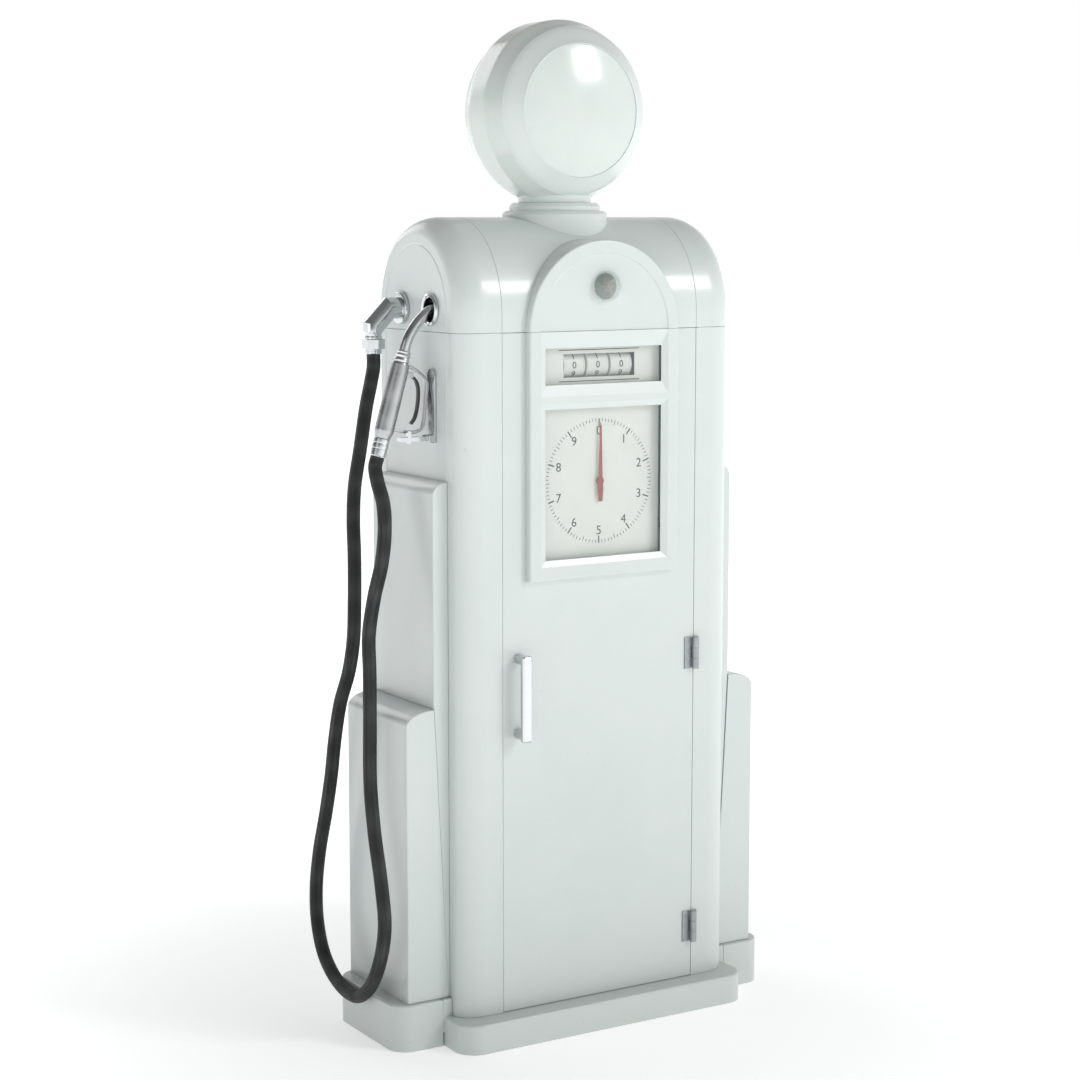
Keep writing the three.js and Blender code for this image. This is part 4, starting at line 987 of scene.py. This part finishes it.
# ---- outlet elbow ---------------------------------------------------------------------
# A mitred elbow of cast and chromed brass on a round flange: out of the hood, down at 45
# degrees, then straight down, with a turned groove above its union.
DROP = Vector((-0.434, 0.061, 0))
flange_face = OUTLET.x - GAP
FLANGE = [(0, 0), (0.034, 0), (0.036, 0.002), (0.036, 0.007), (0.0345, 0.0098), (0.032, 0.011),
          (0.0245, 0.011),
          (0.0235, 0.014), (0, 0.014)]
elbow = turn("outlet_flange_elbow", FLANGE, (flange_face, OUTLET.y, OUTLET.z), (-1, 0, 0), 96)
CORNERS = [Vector((x, OUTLET.y, z)) for x, z in (
    (flange_face - 0.004, 1.636), (-0.3945, 1.636), (-0.434, 1.5965), (-0.434, 1.585))]
PIPE_RADIUS = 0.0238
bend = sweep("bend", CORNERS, PIPE_RADIUS, 64)
for before, corner, after in zip(CORNERS, CORNERS[1:], CORNERS[2:]):
    arriving, leaving = (corner - before).normalized(), (after - corner).normalized()
    mitre, seam = (arriving + leaving).normalized(), (leaving - arriving).normalized()
    for vertex in bend.data.vertices:
        offset = vertex.co - corner
        if abs(offset.dot(mitre)) < 1e-4 and offset.length < 1.1 * PIPE_RADIUS:
            vertex.co += (1 / mitre.dot(leaving) - 1) * offset.dot(seam) * seam
soften(bend, 0.001, segments=2, angle=30)
NECK = [(0, 1.5693), (0.0195, 1.5693), (0.0195, 1.574), (0.0185, 1.5755), (0.0185, 1.579), (0.0205, 1.582),
        (0.0225, 1.587), (0, 1.587)]
combine(elbow, bend, turn("neck", NECK, DROP, steps=96))
settle(elbow, chrome_plate, "chrome", "outlet_elbow")

# ---- hose coupling --------------------------------------------------------------------
# A hexagonal union nut with chamfered corners, over a plain ferrule crimped on the hose.
nut = rod("union_nut", 0.026, DROP + Vector((0, 0, 1.547)), DROP + Vector((0, 0, 1.569)), 6)
soften(nut, 0.0012)
FERRULE = [(0, 1.536), (0.0172, 1.536), (0.0188, 1.5375), (0.0188, 1.5405), (0.0180, 1.5412),
           (0.0180, 1.5425),
           (0.0188, 1.5432), (0.0188, 1.550), (0, 1.550)]
combine(nut, turn("ferrule", FERRULE, DROP, steps=96))
settle(nut, chrome_plate, "chrome", "hose_coupling")

# ---- nozzle ---------------------------------------------------------------------------
# The body is an aluminium casting, buffed where a hand holds it, with its guard cast on. The
# spout is a bent chromed tube in a beaded collar, and the steel trigger hangs on a pin.
NOZZLE = Vector((-0.436, PORT.y, 1.524))
LEAN = Vector((-41, 0, -139)).normalized()

# Cast aluminium: pale and satin, with the fine pitted skin of a sand mould, buffed smoother.
cast_aluminium, tree, surface, place = new_material("buffed_cast_aluminium", "#b4b7b8", Metallic=1.0)
skin = add_node(tree, "TexNoise", {"Vector": place, "Scale": 1000 / 2.5, "Detail": 4.0, "Roughness": 0.6})
rubbed = add_node(tree, "TexNoise", {"Vector": place, "Scale": 1000 / 45, "Detail": 3.0})
vary(tree, surface, rubbed, tones=("#a3a7a8", "#c8cacb"), gloss=(0.24, 0.42), band=(0.3, 0.7))
vary(tree, surface, skin, bump=(0.0004, 0.5))


def bar_outline(points, thickness):
    """The outline in X and Z of a bar of even thickness along a line."""
    line = [Vector((x, z)) for x, z in points]
    ahead = [(line[min(i + 1, len(line) - 1)] - line[max(i - 1, 0)]).normalized() for i in range(len(line))]
    sides = [[p + sign * thickness / 2 * Vector((-d.y, d.x)) for p, d in zip(line, ahead)] for sign in (1,
                                                                                                        -1)]
    return [*sides[0], *reversed(sides[1])]


def bar(name, points, width, thickness, edge):
    """A flat bar bent along a line, across the nozzle's plane, with rounded edges."""
    shape = bar_outline(points, thickness)
    piece = outline(name, [(p.x, PORT.y - width / 2, p.y) for p in shape], (0, width, 0))
    soften(piece, edge, angle=30)
    return piece


BODY = [(0, 0), (0.0165, 0), (0.0188, 0.0015), (0.0197, 0.0045), (0.0199, 0.0075), (0.0195, 0.009),
        (0.0205, 0.020),
        (0.0208, 0.060), (0.0212, 0.110), (0.0215, 0.142), (0.0209, 0.147), (0.0215, 0.150), (0.0212, 0.155),
        (0.0196, 0.160), (0.0178, 0.167), (0.0170, 0.170), (0, 0.170)]
nozzle = turn("nozzle_casting", BODY, NOZZLE, LEAN, 96)
guard_line = [(-0.424, 1.517), (-0.407, 1.510), (-0.380, 1.489), (-0.3735, 1.476), (-0.377, 1.440),
              (-0.384, 1.385),
              (-0.391, 1.376), (-0.403, 1.3715), (-0.430, 1.373), (-0.462, 1.381)]
guard = bar("guard", [tuple(p) for p in smooth_line(guard_line, 3)], 0.009, 0.007, 0.0018)
TRIGGER = Vector((-0.415, PORT.y, 1.496))
combine(nozzle, guard)
for side in (-1, 1):
    ear_face = sorted((PORT.y + side * 0.0056, PORT.y + side * 0.0086))
    ear = block("ear", (TRIGGER.x - 0.020, ear_face[0], TRIGGER.z - 0.006),
                (TRIGGER.x + 0.005, ear_face[1], TRIGGER.z + 0.006))
    soften(ear, 0.0008, segments=2)
    combine(nozzle, ear)
across = Vector((0, 0.0088, 0))
combine(nozzle, rod("trigger_pin", 0.0024, TRIGGER - across, TRIGGER + across, 32))
settle(nozzle, cast_aluminium, "nozzle_aluminium", "nozzle_body")

# Japanned steel: stoved black varnish, glossy, rubbed brown and grey where fingers pull it.
japanned_steel, tree, surface, place = new_material("japanned_steel", "#1b1b1c", Coat_Weight=0.4,
                                                    Coat_Roughness=0.15)
rub = add_node(tree, "TexNoise", {"Vector": place, "Scale": 1000 / 12, "Detail": 5.0, "Roughness": 0.7})
bare = add_node(tree, "MapRange", {"Value": rub.outputs[0], "From Min": 0.58, "From Max": 0.72})
vary(tree, surface, bare, tones=("#1a1a1b", "#4b4743"))
vary(tree, surface, rub, gloss=(0.25, 0.5))
trigger_line = [(-0.002, 0), (0.012, -0.010), (0.0195, -0.026), (0.019, -0.062), (0.011, -0.094),
                (0.001, -0.107)]
curve = [(TRIGGER.x + p.x, TRIGGER.z + p.y) for p in smooth_line(trigger_line, 4)]
trigger = bar("trigger_lever", curve, 0.0096, 0.006, 0.0012)
eye_reach = Vector((0, 0.0048, 0))
combine(trigger, rod("eye", 0.0055, TRIGGER - eye_reach, TRIGGER + eye_reach, 48))
cut(trigger, rod("pin_hole", 0.0028, TRIGGER - 2 * eye_reach, TRIGGER + 2 * eye_reach, 32))
settle(trigger, japanned_steel, "black_lever", "nozzle_trigger", body="nozzle_trigger")

spout_line = [(-0.336, 1.643), (-0.364, 1.634), (-0.394, 1.610), (-0.418, 1.577), (-0.429, 1.547),
              (-0.4335, 1.533)]
spout = sweep("spout_tube", smooth_line([(x, PORT.y, z) for x, z in spout_line], 6), 0.012, 48)
BEADS = [(0, -0.026), (0.0135, -0.026), (0.0150, -0.0245), (0.0158, -0.0225), (0.0150, -0.0205),
         (0.0146, -0.0195),
         (0.0160, -0.0180), (0.0175, -0.0150), (0.0160, -0.0120), (0.0152, -0.0105), (0.0160, -0.0090),
         (0.0172, -0.0060), (0.0172, -0.0030), (0.0160, -GAP), (0, -GAP)]
combine(spout, turn("collar", BEADS, NOZZLE, LEAN, 96))
settle(spout, chrome_plate, "chrome", "nozzle_spout")

CLAMP = [(0, 0.1703), (0.0165, 0.1703), (0.0180, 0.172), (0.0180, 0.180), (0.0172, 0.1815), (0.0180, 0.183),
         (0.0180, 0.192), (0.0172, 0.1935), (0.0176, 0.195), (0.0170, 0.2085), (0.0162, 0.2095), (0, 0.2095)]
settle(turn("hose_clamp_ferrule", CLAMP, NOZZLE, LEAN, 96), chrome_plate, "chrome", "nozzle_ferrule")

# ---- nozzle port ----------------------------------------------------------------------
# A chromed sleeve with a rolled lip, set in the hood's end, that the spout rests in.
LIP_RING = [
    (0.026, -0.039), (0.028, -0.039), (0.028, 0.0), (0.0345, 0.0), (0.036, 0.0018), (0.036, 0.0052), (0.0345,
                                                                                                      0.0078),
    (0.031, 0.009), (0.028, 0.0078), (0.026, 0.005), (0.026, -0.039),
]
settle(turn("port_sleeve", LIP_RING, (flange_face, PORT.y, PORT.z), (-1, 0, 0), 96), chrome_plate, "chrome",
       "nozzle_port")

# ---- lever plate and start lever ------------------------------------------------------
# A narrow chromed plate with a round top, screwed to the cabinet beside the nozzle, carries
# the lever that starts the motor: a flat arm with an upturned lip, on a pin between two lugs.
settle(refined("lever_plate", "lever_backplate", 0.0007, 3), chrome_plate, "chrome", "lever_plate")
settle(refined("start_lever", "start_lever_arm", 0.001, 3), chrome_plate, "chrome", "start_lever",
       body="start_lever")

# ---- frame and machinery --------------------------------------------------------------
# Inside stands a welded frame of square steel bar, and on it and on the base the motor, belt,
# pump with its air separator, piston meter, delivery pipe and counter. None of it is polished.

# Primed steel: dull grey primer brushed over mill scale, with rust coming through in specks.
primed_steel, tree, surface, place = new_material("primed_mild_steel", "#5d6263", Roughness=0.6, Metallic=0.2)
scale = add_node(tree, "TexNoise", {"Vector": place, "Scale": 1000 / 22, "Detail": 6.0, "Roughness": 0.7})
rust = add_node(tree, "MapRange", {"Value": scale.outputs[0], "From Min": 0.62, "From Max": 0.72})
vary(tree, surface, rust, tones=("#5d6364", "#6e4c39"))
vary(tree, surface, scale, bump=(0.0008, 0.5))

# Machinery enamel: thick grey paint over sand-cast iron, so the mould's grain shows softly.
machinery_enamel, tree, surface, place = new_material("machinery_enamel_on_cast_iron", "#4c5355",
                                                      Roughness=0.45)
sand = add_node(tree, "TexNoise", {"Vector": place, "Scale": 1000 / 4, "Detail": 3.0})
grease = add_node(tree, "TexNoise", {"Vector": place, "Scale": 1000 / 70, "Detail": 5.0, "Roughness": 0.6})
vary(tree, surface, grease, tones=("#3c4243", "#5d6567"), gloss=(0.3, 0.62), band=(0.3, 0.7))
vary(tree, surface, sand, bump=(0.0012, 0.5))

# Die cast zinc: a soft grey metal case, satin, with faint flow marks from the die.
die_cast_zinc, tree, surface, place = new_material("die_cast_zinc", "#8d9294", Metallic=0.85)
flow = add_node(tree, "TexNoise", {"Vector": place, "Scale": 1000 / 55, "Detail": 4.0, "Distortion": 1.5})
vary(tree, surface, flow, tones=("#7f8486", "#a0a4a6"), gloss=(0.35, 0.55))

BOLT = [(0, 0.006), (0.0048, 0.006), (0.0062, 0.0045), (0.0062, -0.002), (0, -0.002)]


def bolts(piece, centre, axis, radius, count, start=0.0):
    """Hexagon bolt heads in a ring on a flat face."""
    aim = Vector(axis).to_track_quat("Z", "Y")
    angles = [start + math.tau * i / count for i in range(count)]
    spokes = [aim @ Vector((math.cos(angle), math.sin(angle), 0)) for angle in angles]
    heads = [turn("bolt", BOLT, Vector(centre) + radius * spoke, axis, 6) for spoke in spokes]
    return joined(piece.name, [piece, *heads])


MOTOR = Vector((0.120, 0, 0.205))
PUMP = Vector((-0.120, 0, 0.205))
settle(refined("inner_frame", "welded_frame", 0.0015), primed_steel, "frame_steel", "inner_frame")
motor = refined("motor", "motor_casing", 0.0015)
for i in range(9):
    station = -0.050 + 0.0175 * i
    combine(motor, rod("fin", 0.0865, (MOTOR.x, station, MOTOR.z), (MOTOR.x, station + 0.005, MOTOR.z), 96))
bolts(motor, (MOTOR.x, -0.070, MOTOR.z), (0, -1, 0), 0.052, 4, math.pi / 4)
settle(motor, machinery_enamel, "cast_iron", "motor")
pump = bolts(refined("pump_unit", "pump_casting", 0.002), (PUMP.x, -0.066, PUMP.z), (0, -1, 0), 0.078, 8,
             math.pi / 8)
settle(pump, machinery_enamel, "cast_iron", "pump_unit")
settle(refined("meter", "meter_casting", 0.002), machinery_enamel, "cast_iron", "meter")
settle(refined("register", "counter_case", 0.0012), die_cast_zinc, "register_case", "register")

BELT = (-0.092, -0.084, -0.076)
GROOVE = 0.005
MOTOR_WHEEL = 0.038
PUMP_WHEEL = 0.078
HOLE_CIRCLE = 0.043
for node, at, radius in (("motor_pulley", MOTOR, MOTOR_WHEEL), ("pump_pulley", PUMP, PUMP_WHEEL)):
    profile = [
        (0, BELT[0]), (0.018, BELT[0]), (0.018, BELT[0] + 0.004), (radius - 0.012, BELT[0] + 0.004),
        (radius - 0.010, BELT[0]), (radius + 0.006, BELT[0]), (radius + 0.006, BELT[0] + 0.002),
        (radius, BELT[1] - GROOVE), (radius, BELT[1] + GROOVE), (radius + 0.006, BELT[2] - 0.002),
        (radius + 0.006, BELT[2]), (0.008, BELT[2]), (0.008, -0.036), (0, -0.036),
    ]
    wheel = turn(f"{node}_wheel", profile, (at.x, 0, at.z), (0, 1, 0), 96)
    if node == "pump_pulley":
        for i in range(5):
            angle = math.tau * i / 5
            hole = Vector((at.x + HOLE_CIRCLE * math.sin(angle), 0, at.z + HOLE_CIRCLE * math.cos(angle)))
            cut(wheel, rod("lightening", 0.015, hole + Vector((0, -0.11, 0)), hole + Vector((0, -0.06, 0)),
                           40))
    soften(wheel, 0.0008, segments=2, angle=50)
    settle(wheel, machinery_enamel, "cast_iron", node, body=node)

# Belt: black rubber and canvas, matt, dusted with its own wear.
belt_rubber, tree, surface, place = new_material("canvas_backed_belt", "#2a2826", Roughness=0.8)
lint = add_node(tree, "TexNoise", {"Vector": place, "Scale": 1000 / 6, "Detail": 5.0})
vary(tree, surface, lint, tones=("#1f1e1d", "#413e3a"))


def belt_loop(name, extra, y0, y1):
    """The outline round both pulleys, this much outside them, carried along Y."""
    tilt = math.asin((PUMP_WHEEL - MOTOR_WHEEL) / (MOTOR.x - PUMP.x))
    points = []
    for at, radius, start, stop in ((MOTOR, MOTOR_WHEEL, tilt - math.pi / 2, math.pi / 2 - tilt),
                                    (PUMP, PUMP_WHEEL, math.pi / 2 - tilt, math.pi * 1.5 + tilt)):
        for i in range(25):
            angle = start + (stop - start) * i / 24
            points.append((at.x + (radius + extra) * math.cos(angle), y0,
                           at.z + (radius + extra) * math.sin(angle)))
    return outline(name, points, (0, y1 - y0, 0))


belt = cut(belt_loop("v_belt", 0.006, BELT[1] - 0.004, BELT[1] + 0.004),
           belt_loop("inside", 0.0006, -0.10, -0.07))
soften(belt, 0.0006, segments=2, angle=60)
settle(belt, belt_rubber, "black_hose", "drive_belt")

PIPE = [(-0.157, 0.040, 0.560), (-0.210, 0.040, 0.560), (-0.262, 0.048, 0.562), (-0.292, 0.058, 0.590),
        (-0.300, 0.061, 0.650), (-0.300, 0.061, 1.100), (-0.300, 0.061, 1.560), (-0.304, 0.061, 1.610),
        (-0.322, 0.061, 1.632), (-0.342, 0.061, 1.636), (-0.361, 0.061, 1.636)]
settle(sweep("delivery_pipe", smooth_line(PIPE, 6), 0.015, 40), primed_steel, "frame_steel", "outlet_pipe")

# ---- floor and light ------------------------------------------------------------------
# A plain pale studio: a matt floor with painted light, a glow of its own that is dim near the pump
# and full white farther out, so it paints a pool of shade round the pump; and a white surround
# that is dimmer overhead and on the left. A soft key stands on the right, a weak fill on the left
# and a rim light behind.
bpy.ops.object.select_all(action="DESELECT")
bpy.ops.mesh.primitive_plane_add(size=160, location=(0, 0, 0))
floor = bpy.context.object
floor.name = "floor"
pale_floor, tree, surface, place = new_material("pale_floor", "#f6f7f7", Roughness=0.9)
# Painted light and shade: the floor glows by itself, at 0.4 near the pump rising to 1.0 by 3 m out, so the darker
# pool round the pump is painted shade, not a cast shadow.
surface.inputs["Emission Color"].default_value = (1, 1, 1, 1)
away = add_node(tree, "VectorMath", {0: place}, operation="LENGTH")
glow = add_node(tree, "MapRange", {"Value": away.outputs["Value"], "From Min": 0.4, "From Max": 3.0,
                                   "To Min": 0.4},
                interpolation_type="SMOOTHSTEP")
tree.links.new(glow.outputs[0], surface.inputs["Emission Strength"])
floor.data.materials.append(pale_floor)

world = bpy.data.worlds.new("studio")
world.use_nodes = True
tree = world.node_tree
towards = add_node(tree, "SeparateXYZ", {0: add_node(tree, "TexCoord").outputs["Generated"]})
overhead = add_node(tree, "MapRange", {"Value": towards.outputs["Z"], "From Min": 0.12, "From Max": 0.6,
                                       "To Min": 1.0,
                                       "To Max": 0.4}, interpolation_type="SMOOTHSTEP")
flagged = add_node(tree, "MapRange", {"Value": towards.outputs["X"], "From Min": -0.9, "From Max": 0.3,
                                      "To Min": 0.2})
raised = add_node(tree, "MapRange", {"Value": towards.outputs["Z"], "From Min": 0.1, "From Max": 0.2})
above = add_node(tree, "Mix", {0: raised.outputs[0], 2: 1.0, 3: flagged.outputs[0]}, data_type="FLOAT")
shade = add_node(tree, "Math", {0: overhead.outputs[0], 1: above.outputs[0]}, operation="MULTIPLY")
tree.nodes["Background"].inputs["Color"].default_value = (1, 1, 1, 1)
tree.links.new(shade.outputs[0], tree.nodes["Background"].inputs["Strength"])
bpy.context.scene.world = world
bpy.context.scene.view_settings.view_transform = "Standard"
for name, place, size, watts in (
    ("key", (3.2, -4.4, 4.2), 1.3, 85), ("fill", (-4.2, -1.2, 2.4), 2.4, 10), ("rim", (-1.0, 4.2, 3.6), 2.4,
                                                                               34),
):
    lamp = bpy.data.objects.new(name, bpy.data.lights.new(name, "AREA"))
    bpy.context.scene.collection.objects.link(lamp)
    lamp.location = place
    lamp.rotation_euler = (Vector((0, 0, 1.1)) - Vector(place)).to_track_quat("-Z", "Y").to_euler()
    lamp.data.size = size
    lamp.data.energy = watts
